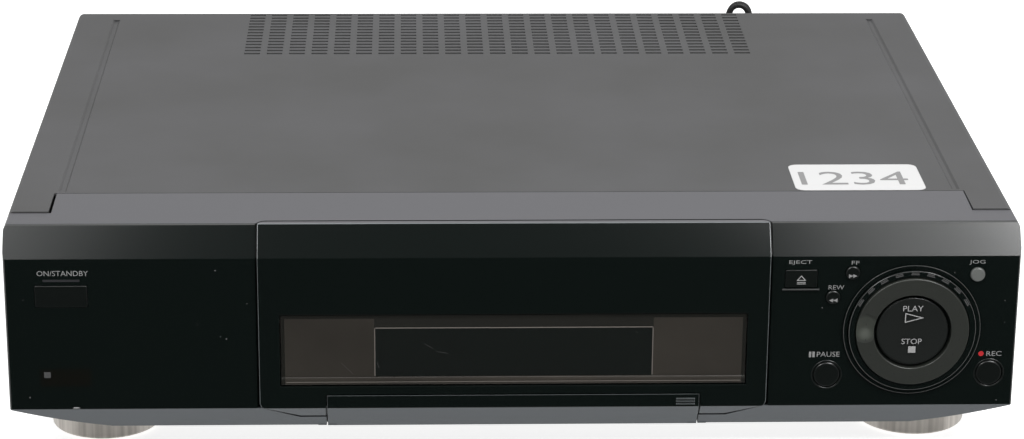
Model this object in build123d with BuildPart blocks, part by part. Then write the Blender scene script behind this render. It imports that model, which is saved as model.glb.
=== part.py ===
"""Front-loading VHS video cassette recorder, millimetres, +Z up, front facing -Y.

The origin is on the standing surface, under the middle of the recorder's box.
"""
import os
from math import cos, pi, radians, sin, tan

from build123d import *

# ---------------------------------------------------------------- driving sizes
# case
width = 430.0
body_depth = 327.4
foot_height = 12.0
crease_height = 24.0
face_height = 68.3
band_rise = 12.0
band_depth = 8.5
top_step = 0.9
lower_band_depth = 9.6
strip_depth = 46.5
side_strip_start = 23.0
side_strip_width = 17.4
corner_radius = 3.0
seam = 0.5
centre_seam = 1.0
left_notch_gap = 1.2
dial_proud = 3.5
jack_reach = 8.0
rear_inset = 3.0
# sheets and walls
cover_sheet = 1.0
chassis_sheet = 1.0
panel_wall = 2.2
fascia_depth = 2.0
centre_proud = 0.8
cover_bend = 3.0
cover_lower_edge = 15.5
# cover details
groove_inset = 20.7
groove_width = 3.6
groove_depth = 0.8
groove_ends = (2.5, 11.4)
vent_columns = 23
vent_rows = 14
vent_pitch_x = 11.1
vent_pitch_y = 5.26
vent_width = 7.8
vent_slot = 2.4
vent_first_row = 255.7
# centre panel and cassette flap
centre_border = 9.4
centre_low_inset = 16.8
centre_corner = 4.0
centre_drop = 5.3
centre_low_proud = 0.1
centre_seat = 1.1
centre_wrap = 12.5
flap_margin = 5.5
flap_low = 10.7
flap_high = 42.5
flap_gap = 0.5
flap_thickness = 2.4
flap_lip_height = 3.6
flap_lip_proud = 0.9
window_half = 59.4
window_low = 14.6
window_high = 36.9
flap_pin_radius = 1.5
running_gap = 0.08
# control door
door_half = 79.7
door_high = 5.9
door_gap = 0.5
door_pin_radius = 1.2
# display side of the front
display_from_centre = 34.6
display_z = 40.0
display_size = (56.0, 7.0, 24.0)
# dial group
dial_inset = 45.3
dial_z = 35.0
bezel_radius = 29.4
bezel_proud = 0.8
sleeve_radius = 28.1
sleeve_wall = 0.6
shuttle_outer = 27.3
shuttle_inner = 24.4
jog_outer = 24.1
jog_inner = 16.6
rocker_radius = 15.4
dial_tube_wall = 0.6
dial_floor = 10.0
# buttons
button_gap = 0.25
button_travel = 1.0
board_back = 24.0
board_sheet = 1.6
# cassette and its carriage
cassette_width = 187.0
cassette_depth = 103.0
cassette_height = 25.0
carriage_clear = 1.0
carriage_sheet = 1.0
carriage_front = 45.0
carriage_base = 38.0
carriage_in_travel = 60.0
carriage_drop_travel = 9.5
# feet
front_foot_inset = 37.0
front_foot_y = 44.0
foot_radius = 24.0
rear_foot_inset = 45.0
rear_foot_from_back = 42.4
rear_foot_radius = 15.0
pad_thickness = 1.5
front_pad_inset = 9.0
rear_pad_inset = 5.0
# mains lead
lead_width = 5.4
lead_inset = 97.0
lead_z = 76.0

# ---------------------------------------------------------------- worked-out places
overall_depth = dial_proud + body_depth - rear_inset + jack_reach
face_y = -overall_depth / 2 + dial_proud
half_width = width / 2
top_crease_z = crease_height + face_height + band_rise
cover_top = top_crease_z + top_step
rear_edge_y = face_y + body_depth
rear_panel_y = rear_edge_y - rear_inset
inner_top = cover_top - cover_sheet
# places across
flap_half = cassette_width / 2 + flap_margin
centre_half = flap_half + centre_border
centre_low_half = centre_half - centre_low_inset
groove_at = half_width - groove_inset
groove_front = strip_depth + groove_ends[0]
groove_back = body_depth - groove_ends[1]
display_x = -(centre_half + display_from_centre)
dial_x = half_width - dial_inset
front_foot_x = half_width - front_foot_inset
rear_foot_x = half_width - rear_foot_inset
rear_foot_y = body_depth - rear_foot_from_back
lead_x = half_width - lead_inset
pieces = []


def front_plane(y):
    """A plane across the recorder at depth y, its sketch coordinates being X and Z."""
    return Plane(origin=(0, y, 0), x_dir=(1, 0, 0), z_dir=(0, -1, 0))


def depth(distance):
    """The row-frame Y of a place this far behind the black face."""
    return face_y + distance


def high(distance):
    """The row-frame Z of a place this far above the fascia's lower crease."""
    return crease_height + distance


def keep(part, name):
    """Labels a finished piece and remembers it for the files."""
    part.label = name
    pieces.append(part)


def block(x_span, y_span, z_span):
    """A box from its spans, kept out of any block around it."""
    (x0, x1), (y0, y1), (z0, z1) = x_span, y_span, z_span
    centre = ((x0 + x1) / 2, (y0 + y1) / 2, (z0 + z1) / 2)
    return Pos(*centre) * Box(x1 - x0, y1 - y0, z1 - z0, mode=Mode.PRIVATE)


def rod_y(x, z, radius, y_span):
    """A cylinder along Y, kept out of any block around it."""
    y0, y1 = y_span
    turned = Rotation(90, 0, 0) * Cylinder(radius, y1 - y0, mode=Mode.PRIVATE)
    return Pos(x, (y0 + y1) / 2, z) * turned


def rod_x(y, z, radius, x_span):
    """A cylinder along X, kept out of any block around it."""
    x0, x1 = x_span
    turned = Rotation(0, 90, 0) * Cylinder(radius, x1 - x0, mode=Mode.PRIVATE)
    return Pos((x0 + x1) / 2, y, z) * turned


def rod_z(x, y, radius, z_span):
    """A cylinder along Z, kept out of any block around it."""
    z0, z1 = z_span
    return Pos(x, y, (z0 + z1) / 2) * Cylinder(radius, z1 - z0, mode=Mode.PRIVATE)


def sink_x(y, z, small, large, x_small, x_large):
    """A cone along X from its small end to its large end, kept out of any block."""
    toward = 1 if x_large > x_small else -1
    cone = Cone(small, large, abs(x_large - x_small), mode=Mode.PRIVATE)
    return Pos((x_small + x_large) / 2, y, z) * Rotation(0, toward * 90, 0) * cone


# ---------------------------------------------------------------- top cover
cover_screw_y = (depth(90.0), rear_edge_y - 57.4)
cover_screw_z = 24.0
cover_screw_radius = 1.6
screw_head = 3.2
cover_front = depth(strip_depth + seam)
side_front = depth(side_strip_start + seam)
notch_half = half_width - side_strip_width
with BuildPart() as top_cover:
    with BuildSketch(front_plane(rear_edge_y)) as cover_section:
        with BuildLine():
            Polyline(
                (-half_width, cover_lower_edge),
                (-half_width, cover_top),
                (half_width, cover_top),
                (half_width, cover_lower_edge),
                close=True,
            )
        make_face()
        fillet(cover_section.vertices().group_by(Axis.Y)[-1], cover_bend)
        with BuildSketch(front_plane(rear_edge_y), mode=Mode.SUBTRACT) as cover_hollow:
            with BuildLine():
                Polyline(
                    (cover_sheet - half_width, cover_lower_edge),
                    (cover_sheet - half_width, inner_top),
                    (half_width - cover_sheet, inner_top),
                    (half_width - cover_sheet, cover_lower_edge),
                    close=True,
                )
            make_face()
            fillet(cover_hollow.vertices().group_by(Axis.Y)[-1], cover_bend - cover_sheet)
    extrude(amount=rear_edge_y - side_front)
    # the front edge stands back between the two side strips
    add(
        block(
            (-notch_half, notch_half),
            (side_front - 1, cover_front),
            (inner_top - 1, cover_top + 1),
        ),
        mode=Mode.SUBTRACT,
    )
    # long pressed grooves near both sides
    for side in (-1, 1):
        groove_x = side * groove_at
        with BuildSketch(front_plane(depth(groove_back))):
            with BuildLine():
                Polyline(
                    (groove_x - side * groove_width / 2, cover_top),
                    (groove_x - side * groove_width / 4, cover_top - groove_depth),
                    (groove_x + side * groove_width / 4, cover_top - groove_depth),
                    (groove_x + side * groove_width / 2, cover_top),
                    close=True,
                )
            make_face()
        extrude(amount=groove_back - groove_front, mode=Mode.SUBTRACT)
    # vent slots at the back
    vent_slots = []
    for column in range(vent_columns):
        slot_x = (column - (vent_columns - 1) / 2) * vent_pitch_x
        for row in range(vent_rows):
            slot_y = depth(vent_first_row + vent_pitch_y * row)
            vent_slots.append(
                block(
                    (slot_x - vent_width / 2, slot_x + vent_width / 2),
                    (slot_y - vent_slot / 2, slot_y + vent_slot / 2),
                    (inner_top - 1, cover_top + 1),
                )
            )
    add(vent_slots, mode=Mode.SUBTRACT, clean=False)
    # countersunk screw holes, two on each side
    for side in (-1, 1):
        for screw_y in cover_screw_y:
            hole_span = sorted((side * (half_width - 3), side * (half_width + 1)))
            add(rod_x(screw_y, cover_screw_z, cover_screw_radius, hole_span), mode=Mode.SUBTRACT)
            add(
                sink_x(
                    screw_y, cover_screw_z, cover_screw_radius, screw_head,
                    side * (half_width - cover_sheet), side * half_width,
                ),
                mode=Mode.SUBTRACT,
            )
keep(top_cover.part, "top_cover")

# ---------------------------------------------------------------- front outlines
lower_slope = lower_band_depth / band_rise
strip_slope = top_step / (strip_depth - band_depth)


def band_y(drop, shift):
    """Depth of the lower slanted band this far below the crease, moved back by shift."""
    return depth(drop * lower_slope + shift)


def front_section(points, half):
    """Extrudes a closed outline of (Y, Z) points to both sides of the middle plane."""
    with BuildPart(mode=Mode.PRIVATE) as section:
        with BuildSketch(Plane.YZ):
            with BuildLine():
                Polyline(*points, close=True)
            make_face()
        extrude(amount=half, both=True)
    return section.part


def front_outline(points, y_span):
    """Extrudes a closed outline of (X, Z) points through a range of depth."""
    with BuildPart(mode=Mode.PRIVATE) as outline:
        with BuildSketch(front_plane(y_span[1])):
            with BuildLine():
                Polyline(*points, close=True)
            make_face()
        extrude(amount=y_span[1] - y_span[0])
    return outline.part


def rounded_opening(x_span, z_span, y_span, radius):
    """A bar along Y with rounded corners, used for buttons and their openings."""
    (x0, x1), (z0, z1) = x_span, z_span
    with BuildPart(mode=Mode.PRIVATE) as bar:
        with BuildSketch(front_plane(y_span[1])):
            with Locations(((x0 + x1) / 2, (z0 + z1) / 2)):
                RectangleRounded(x1 - x0, z1 - z0, radius)
        extrude(amount=y_span[1] - y_span[0])
    return bar.part


taper_start = half_width - 42.5
taper_middle = (half_width - 18.5, 6.5)


def end_taper(side):
    """The solid below the curve that lifts the lower edge towards one end."""
    with BuildPart(mode=Mode.PRIVATE) as taper:
        with BuildSketch(front_plane(depth(strip_depth + 2))):
            with BuildLine():
                ThreePointArc(
                    (side * taper_start, foot_height),
                    (side * taper_middle[0], high(-taper_middle[1])),
                    (side * half_width, high(-0.3)),
                )
                Polyline(
                    (side * half_width, high(-0.3)),
                    (side * (half_width + 2), high(-0.3)),
                    (side * (half_width + 2), foot_height - 2),
                    (side * taper_start, foot_height - 2),
                    (side * taper_start, foot_height),
                )
            make_face()
        extrude(amount=strip_depth + 6)
    return taper.part


def plan_form(y_end):
    """The front's whole outline: rounded corners in plan and rounded edges at its top ends."""
    with BuildPart(mode=Mode.PRIVATE) as plan:
        with BuildSketch(Plane.XY.offset(foot_height - 5)) as plan_sketch:
            with BuildLine():
                Polyline(
                    (-half_width, depth(-centre_proud)),
                    (half_width, depth(-centre_proud)),
                    (half_width, y_end),
                    (-half_width, y_end),
                    close=True,
                )
            make_face()
            fillet(plan_sketch.vertices().group_by(Axis.Y)[0], corner_radius)
        extrude(amount=cover_top + 10)
    with BuildPart(mode=Mode.PRIVATE) as ends:
        with BuildSketch(front_plane(y_end)) as end_sketch:
            with Locations((0, cover_top / 2)):
                Rectangle(width, cover_top)
            fillet(end_sketch.vertices().group_by(Axis.Y)[-1], cover_bend)
        extrude(amount=y_end - depth(-centre_proud - 1))
    return plan.part & ends.part


def face_plate(front_shift, back_shift):
    """Outline of a plate that lies on the face and its tilted upper band."""
    return [
        (depth(band_depth + front_shift), top_crease_z),
        (depth(front_shift), high(face_height)),
        (depth(front_shift), high(0)),
        (depth(back_shift), high(0)),
        (depth(back_shift), high(face_height)),
        (depth(band_depth + back_shift), top_crease_z),
    ]


def centre_shape(gap):
    """The centre moulding's solid grown sideways by a gap, before its openings."""
    low = centre_drop + gap
    section = front_section(
        [
            (depth(centre_wrap + gap), top_crease_z - centre_seat),
            (depth(centre_wrap + gap), top_crease_z + 0.1),
            (depth(band_depth - 0.6), top_crease_z + centre_proud - 0.1),
            (depth(-centre_proud), high(face_height + 0.3)),
            (depth(-centre_proud), high(0.2)),
            (band_y(low, -centre_low_proud), high(-low)),
            (band_y(low, fascia_depth), high(-low)),
            (depth(fascia_depth), high(0)),
            (depth(fascia_depth), high(face_height)),
            (depth(band_depth + fascia_depth), top_crease_z - centre_seat),
        ],
        centre_half + gap,
    )
    wide = centre_half + gap
    outline = front_outline(
        [
            (-wide, cover_top + 5),
            (-wide, high(2.2)),
            (-wide + 0.9, high(0.4)),
            (-centre_low_half, high(-low)),
            (centre_low_half, high(-low)),
            (wide - 0.9, high(0.4)),
            (wide, high(2.2)),
            (wide, cover_top + 5),
        ],
        (depth(-5), depth(strip_depth)),
    )
    with BuildPart(mode=Mode.PRIVATE) as plan:
        with BuildSketch(Plane.XY) as plan_sketch:
            with Locations((0, depth(0))):
                Rectangle(2 * wide, 2 * (centre_wrap + gap))
            fillet(plan_sketch.vertices().group_by(Axis.Y)[-1], centre_corner + gap)
        extrude(amount=cover_top + 10)
    return section & outline & plan.part


def door_shape(gap):
    """The control door's solid grown by a gap at its top and ends."""
    door_low = band_rise + gap
    return front_section(
        [
            (depth(-centre_proud), high(door_high + gap)),
            (depth(-centre_proud), high(0.2)),
            (band_y(door_low, -centre_proud), high(-door_low)),
            (band_y(door_low, fascia_depth), high(-door_low)),
            (depth(fascia_depth), high(0)),
            (depth(fascia_depth), high(door_high + gap)),
        ],
        door_half + gap,
    )

# ---------------------------------------------------------------- controls' places
# each button: name, x span, z span above the crease, corner radius or None when round
rect_buttons = {
    "power_button": ((13.0 - half_width, 35.0 - half_width), (46.8, 56.4), 0.8),
    "eject_button": ((centre_half + 6.4, centre_half + 20.0), (54.3, 62.2), 0.8),
}
round_buttons = {
    "fast_forward_button": (dial_x - 26.3, 61.0, 3.0),
    "rewind_button": (dial_x - 34.3, 50.0, 3.0),
    "jog_button": (dial_x + 26.9, 60.0, 3.1),
    "pause_button": (dial_x - 35.6, 14.3, 5.7),
    "record_button": (dial_x + 34.3, 14.8, 5.65),
}
button_proud = {
    "power_button": 0.4,
    "eject_button": 0.2,
    "fast_forward_button": 1.2,
    "rewind_button": 1.2,
    "jog_button": 1.2,
    "pause_button": 0.4,
    "record_button": 0.4,
}
stem_half = 1.6
indicator_x = (16.5 - half_width, 32.0 - half_width)
indicator_z = (58.1, 59.2)
ir_x = (13.8 - half_width, 35.3 - half_width)
ir_z = (10.6, 18.5)
through = (depth(-5), depth(strip_depth - 20))


def button_openings(grow):
    """Every button's opening, grown outwards all round."""
    cuts = []
    for (x0, x1), (z0, z1), radius in rect_buttons.values():
        cuts.append(
            rounded_opening(
                (x0 - grow, x1 + grow), (high(z0 - grow), high(z1 + grow)), through, radius
            )
        )
    for x, z, radius in round_buttons.values():
        cuts.append(rod_y(x, high(z), radius + grow, through))
    return cuts


# ---------------------------------------------------------------- front panel
flap_opening_low = flap_low - flap_gap
flap_opening_high = flap_high + flap_gap
compartment_half = door_half - 1.7
compartment_low = -6.0
compartment_high = door_high - 1.0
door_pin_y = band_y(9.5, 2.2)
door_pin_z = high(-9.5)
door_swing_back = 13.3
boss_size = (4.2, 3.0)
flap_pin_y = depth(3.6)
flap_pin_z = high(flap_high - 1.5)
flap_ear = 3.4
panel_inner = fascia_depth + panel_wall
bottom_back = side_strip_start - 1.0
with BuildPart() as front_panel:
    add(
        front_section(
            [
                (depth(strip_depth), cover_top),
                (depth(band_depth + fascia_depth), top_crease_z + strip_slope * fascia_depth),
                (depth(band_depth + fascia_depth), top_crease_z),
                (depth(fascia_depth), high(face_height)),
                (depth(fascia_depth), high(0)),
                (depth(0), high(0)),
                (band_y(band_rise, 0), foot_height),
                (depth(bottom_back), foot_height),
                (depth(bottom_back), foot_height + panel_wall),
                (band_y(band_rise - panel_wall, 2.8), foot_height + panel_wall),
                (depth(panel_inner), high((2.8 - panel_inner) / lower_slope)),
                (depth(panel_inner), high(face_height - 0.6)),
                (depth(band_depth + panel_inner - 0.7), top_crease_z - panel_wall),
                (depth(strip_depth), cover_top - panel_wall),
            ],
            half_width,
        )
    )
    # closed ends
    end_points = [
        (depth(side_strip_start), top_crease_z + strip_slope * (side_strip_start - band_depth)),
        (depth(band_depth + fascia_depth), top_crease_z),
        (depth(fascia_depth), high(face_height)),
        (depth(fascia_depth), high(0)),
        (depth(0), high(0)),
        (band_y(band_rise, 0), foot_height),
        (depth(bottom_back), foot_height),
        (depth(side_strip_start), foot_height + 2),
    ]
    end_bars = front_section(end_points, half_width)
    end_core = block(
        (panel_wall - half_width, half_width - panel_wall),
        (depth(-20), depth(strip_depth + 20)),
        (0, cover_top + 20),
    )
    add(end_bars - end_core)
    # the strip's two sides stop where the cover's side strips begin
    for side in (-1, 1):
        notch_gap = left_notch_gap if side < 0 else seam
        strip_cut = sorted((side * (notch_half - notch_gap), side * (half_width + 5)))
        add(
            block(strip_cut, (depth(side_strip_start), depth(strip_depth + 5)), (0, cover_top + 5)),
            mode=Mode.SUBTRACT,
        )
        add(end_taper(side), mode=Mode.SUBTRACT)
    add(plan_form(depth(strip_depth + 5)), mode=Mode.INTERSECT)
    # seats of the centre moulding and the control door
    add(centre_shape(centre_seam), mode=Mode.SUBTRACT)
    add(door_shape(door_gap), mode=Mode.SUBTRACT)
    # flap opening and control compartment
    add(
        block(
            (-flap_half - flap_ear - seam, flap_half + flap_ear + seam),
            (depth(-5), depth(20)),
            (high(flap_opening_low), high(flap_opening_high + 1.0)),
        ),
        mode=Mode.SUBTRACT,
    )
    add(
        block(
            (-compartment_half, compartment_half),
            (depth(-5), depth(8)),
            (high(compartment_low), high(compartment_high)),
        ),
        mode=Mode.SUBTRACT,
    )
    add(
        block(
            (-door_half - door_gap, door_half + door_gap),
            (depth(-5), depth(door_swing_back)),
            (foot_height - 1, high(compartment_low + 0.1)),
        ),
        mode=Mode.SUBTRACT,
    )
    # bosses that hold the control door's pins
    for side in (-1, 1):
        boss_x = sorted((side * (door_half + door_gap + 0.1), side * (door_half + boss_size[0])))
        add(
            block(
                boss_x,
                (band_y(10.5, 0.8), depth(door_swing_back + 0.5)),
                (foot_height, door_pin_z + boss_size[1]),
            )
        )
        pin_x = sorted((side * door_half, side * (door_half + 3.2)))
        add(
            rod_x(door_pin_y, door_pin_z, door_pin_radius + running_gap, pin_x),
            mode=Mode.SUBTRACT,
        )
    # windows and control openings
    add(
        block(
            (display_x - display_size[0] / 2, display_x + display_size[0] / 2),
            through,
            (high(display_z - display_size[2] / 2), high(display_z + display_size[2] / 2)),
        ),
        mode=Mode.SUBTRACT,
    )
    add(block(ir_x, through, (high(ir_z[0]), high(ir_z[1]))), mode=Mode.SUBTRACT)
    add(
        block(indicator_x, through, (high(indicator_z[0]), high(indicator_z[1]))),
        mode=Mode.SUBTRACT,
    )
    add(button_openings(button_gap + 0.3), mode=Mode.SUBTRACT)
    add(rod_y(dial_x, high(dial_z), sleeve_radius + 0.2, through), mode=Mode.SUBTRACT)
keep(front_panel.part, "front_panel")

# ---------------------------------------------------------------- side fascias
end_form = plan_form(depth(strip_depth))
with BuildPart() as left_fascia:
    add(front_section(face_plate(0, fascia_depth), half_width))
    add(end_form, mode=Mode.INTERSECT)
    add(
        block(
            (-centre_half - centre_seam, half_width + 1), (depth(-5), depth(20)), (0, cover_top + 5)
        ),
        mode=Mode.SUBTRACT,
    )
    add(button_openings(button_gap), mode=Mode.SUBTRACT)
    add(block(ir_x, through, (high(ir_z[0]), high(ir_z[1]))), mode=Mode.SUBTRACT)
    add(
        block(indicator_x, through, (high(indicator_z[0]), high(indicator_z[1]))),
        mode=Mode.SUBTRACT,
    )
keep(left_fascia.part, "left_fascia")

with BuildPart() as right_fascia:
    add(front_section(face_plate(0, fascia_depth), half_width))
    add(end_form, mode=Mode.INTERSECT)
    add(
        block(
            (-half_width - 1, centre_half + centre_seam), (depth(-5), depth(20)), (0, cover_top + 5)
        ),
        mode=Mode.SUBTRACT,
    )
    add(button_openings(button_gap), mode=Mode.SUBTRACT)
    add(rod_y(dial_x, high(dial_z), sleeve_radius + 0.1, through), mode=Mode.SUBTRACT)
keep(right_fascia.part, "right_fascia")

# ---------------------------------------------------------------- centre panel
ear_low = flap_pin_z - 2.6
with BuildPart() as center_panel:
    add(centre_shape(0))
    add(
        block(
            (-flap_half - flap_gap, flap_half + flap_gap),
            (depth(-5), depth(20)),
            (high(flap_opening_low), high(flap_opening_high)),
        ),
        mode=Mode.SUBTRACT,
    )
    add(
        block(
            (-door_half - door_gap, door_half + door_gap),
            (depth(-5), depth(20)),
            (0, high(door_high + door_gap)),
        ),
        mode=Mode.SUBTRACT,
    )
    # ears behind the face that carry the flap's pins
    for side in (-1, 1):
        ear_x = sorted((side * (flap_half + flap_gap), side * (flap_half + flap_ear)))
        add(block(ear_x, (depth(fascia_depth), flap_pin_y + 2.6), (ear_low, flap_pin_z + 2.6)))
        pin_x = sorted((side * flap_half, side * (flap_half + flap_ear - 0.6)))
        add(
            rod_x(flap_pin_y, flap_pin_z, flap_pin_radius + running_gap, pin_x),
            mode=Mode.SUBTRACT,
        )
keep(center_panel.part, "center_panel")

# ---------------------------------------------------------------- cassette flap
window_pocket = 1.2
lug_width = 2.0
lug_back = 1.8
with BuildPart() as cassette_flap:
    add(
        block(
            (-flap_half, flap_half),
            (depth(0), depth(flap_thickness)),
            (high(flap_low), high(flap_high)),
        )
    )
    # rounded lip along the bottom
    lip_middle = high(flap_low + flap_lip_height / 2)
    with BuildSketch(Plane.YZ):
        with Locations((depth(0), lip_middle)):
            Ellipse(flap_lip_proud, flap_lip_height / 2)
    extrude(amount=flap_half, both=True)
    # pocket for the window
    add(
        block(
            (-window_half - 0.1, window_half + 0.1),
            (depth(-2), depth(window_pocket)),
            (high(window_low - 0.1), high(window_high + 0.1)),
        ),
        mode=Mode.SUBTRACT,
    )
    for side in (-1, 1):
        lug_x = sorted((side * (flap_half - lug_width), side * flap_half))
        add(
            block(
                lug_x,
                (depth(flap_thickness), flap_pin_y + lug_back),
                (flap_pin_z - lug_back, high(flap_high)),
            )
        )
        pin_x = sorted((side * flap_half, side * (flap_half + flap_ear - 0.9)))
        add(rod_x(flap_pin_y, flap_pin_z, flap_pin_radius, pin_x))
keep(cassette_flap.part, "cassette_flap")

with BuildPart() as flap_window:
    add(
        rounded_opening(
            (-window_half, window_half),
            (high(window_low), high(window_high)),
            (depth(-0.1), depth(window_pocket)),
            0.6,
        )
    )
keep(flap_window.part, "flap_window")

# ---------------------------------------------------------------- control door
grip_x = (69.9, 77.7)
grip_z = (1.3, 2.5, 3.7)
grip_rib = 0.5
door_ear_width = 3.5
with BuildPart() as control_door:
    add(door_shape(0))
    for rib_z in grip_z:
        add(
            block(
                grip_x,
                (depth(-centre_proud - grip_rib), depth(0)),
                (high(rib_z - grip_rib / 2), high(rib_z + grip_rib / 2)),
            )
        )
    for side in (-1, 1):
        ear_x = sorted((side * (door_half - door_ear_width), side * door_half))
        add(
            block(
                ear_x,
                (door_pin_y - 1.6, door_pin_y + 1.8),
                (door_pin_z - 1.8, door_pin_z + 1.8),
            )
        )
        pin_x = sorted((side * door_half, side * (door_half + 2.8)))
        add(rod_x(door_pin_y, door_pin_z, door_pin_radius, pin_x))
keep(control_door.part, "control_door")

# ---------------------------------------------------------------- push buttons
flange_grow = 0.9
flange_depth = (panel_inner + 0.3, panel_inner + 1.3)
switch_reach = 5.0
board_front = depth(board_back)
switch_face = board_front - switch_reach
stem_end = switch_face - button_travel - 0.05
with BuildPart() as indicator_bar:
    add(
        block(
            (indicator_x[0] + 0.05, indicator_x[1] - 0.05),
            (depth(-0.1), depth(panel_inner)),
            (high(indicator_z[0] + 0.05), high(indicator_z[1] - 0.05)),
        )
    )
keep(indicator_bar.part, "power_indicator")

for button_name, (x_span, z_span, radius) in rect_buttons.items():
    (x0, x1), (z0, z1) = x_span, z_span
    with BuildPart() as push_button:
        add(
            rounded_opening(
                x_span,
                (high(z0), high(z1)),
                (depth(-button_proud[button_name]), depth(panel_inner + 0.3)),
                radius,
            )
        )
        fillet(push_button.faces().sort_by(Axis.Y)[0].edges(), 0.35)
        add(
            block(
                (x0 - flange_grow, x1 + flange_grow),
                (depth(flange_depth[0]), depth(flange_depth[1])),
                (high(z0 - flange_grow / 2), high(z1 + flange_grow / 2)),
            )
        )
        middle_x, middle_z = (x0 + x1) / 2, high((z0 + z1) / 2)
        add(rod_y(middle_x, middle_z, stem_half, (depth(panel_inner), stem_end)))
    keep(push_button.part, button_name)

for button_name, (x, z, radius) in round_buttons.items():
    dome = min(1.0, radius / 4)
    with BuildPart() as push_button:
        body_y = (depth(-button_proud[button_name]), depth(panel_inner + 0.3))
        add(rod_y(x, high(z), radius, body_y))
        fillet(push_button.faces().sort_by(Axis.Y)[0].edges(), dome)
        flange_y = (depth(flange_depth[0]), depth(flange_depth[1]))
        add(rod_y(x, high(z), radius + flange_grow, flange_y))
        add(rod_y(x, high(z), stem_half, (depth(panel_inner), stem_end)))
    keep(push_button.part, button_name)

# ---------------------------------------------------------------- infra-red window
with BuildPart() as ir_window:
    add(
        block(
            (ir_x[0] + 0.05, ir_x[1] - 0.05),
            (depth(-0.05), depth(panel_inner)),
            (high(ir_z[0] + 0.05), high(ir_z[1] - 0.05)),
        )
    )
keep(ir_window.part, "ir_window")

# ---------------------------------------------------------------- dial group
dial_height = high(dial_z)
bezel_inner = sleeve_radius - sleeve_wall
tube_inner = rocker_radius + 0.35
tube_outer = tube_inner + dial_tube_wall
rocker_pin_radius = 0.9
rocker_pin_y = depth(0.4)
rocker_post_z = 9.0
rocker_stem_clear = 1.1


def ring_y(outer, inner, y_span):
    """A tube along Y about the dial's axis."""
    solid = rod_y(dial_x, dial_height, outer, y_span)
    return solid - rod_y(dial_x, dial_height, inner, (y_span[0] - 1, y_span[1] + 1))


with BuildPart() as dial_bezel:
    add(ring_y(bezel_radius, bezel_inner, (depth(-bezel_proud), depth(0))))
    fillet(dial_bezel.faces().sort_by(Axis.Y)[0].edges(), 0.25)
    add(ring_y(sleeve_radius, bezel_inner, (depth(-0.1), depth(dial_floor))))
    add(ring_y(tube_outer, tube_inner, (depth(-0.9), depth(dial_floor))))
    add(rod_y(dial_x, dial_height, sleeve_radius, (depth(dial_floor), depth(dial_floor + 1.2))))
    for post_z in (-rocker_post_z, rocker_post_z):
        add(
            rod_y(
                dial_x, dial_height + post_z, stem_half + rocker_stem_clear,
                (depth(dial_floor - 1), depth(dial_floor + 3)),
            ),
            mode=Mode.SUBTRACT,
        )
    add(
        rod_x(
            rocker_pin_y, dial_height, rocker_pin_radius + running_gap,
            (dial_x - tube_outer - 0.1, dial_x + tube_outer + 0.1),
        ),
        mode=Mode.SUBTRACT,
    )
keep(dial_bezel.part, "dial_bezel")

with BuildPart() as shuttle_ring:
    add(ring_y(shuttle_outer, shuttle_inner, (depth(-2.2), depth(dial_floor - 0.3))))
    fillet(shuttle_ring.faces().sort_by(Axis.Y)[0].edges(), 0.5)
    # a raised finger stop at the bottom makes the ring's turn visible
    ring_middle = (shuttle_outer + shuttle_inner) / 2
    add(rod_y(dial_x, dial_height - ring_middle, 0.7, (depth(-2.6), depth(0))))
keep(shuttle_ring.part, "shuttle_ring")

dimple_radius = 20.0
dimple_at = (jog_outer + jog_inner) / 2
dimple_depth = 1.1
jog_front = depth(-dial_proud)
with BuildPart() as jog_dial:
    add(ring_y(jog_outer, jog_inner, (jog_front, depth(dial_floor - 0.3))))
    fillet(jog_dial.faces().sort_by(Axis.Y)[0].edges(), 0.5)
    dimple_y = jog_front - dimple_radius + dimple_depth
    with Locations((dial_x - dimple_at, dimple_y, dial_height + 1.8)):
        Sphere(dimple_radius, mode=Mode.SUBTRACT)
keep(jog_dial.part, "jog_dial")

dish_depth = 0.8
dish_radius = (rocker_radius**2 + dish_depth**2) / (2 * dish_depth)
rocker_front = depth(-2.6)
with BuildPart() as play_stop_button:
    add(rod_y(dial_x, dial_height, rocker_radius, (rocker_front, depth(3.0))))
    chamfer(play_stop_button.faces().sort_by(Axis.Y)[0].edges(), 0.6)
    with Locations((dial_x, rocker_front + dish_depth - dish_radius, dial_height)):
        Sphere(dish_radius, mode=Mode.SUBTRACT)
    add(
        rod_x(
            rocker_pin_y, dial_height, rocker_pin_radius,
            (dial_x - tube_outer + 0.1, dial_x + tube_outer - 0.1),
        )
    )
    for post_z in (-rocker_post_z, rocker_post_z):
        add(rod_y(dial_x, dial_height + post_z, stem_half, (depth(2.5), stem_end)))
keep(play_stop_button.part, "play_stop_button")

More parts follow.
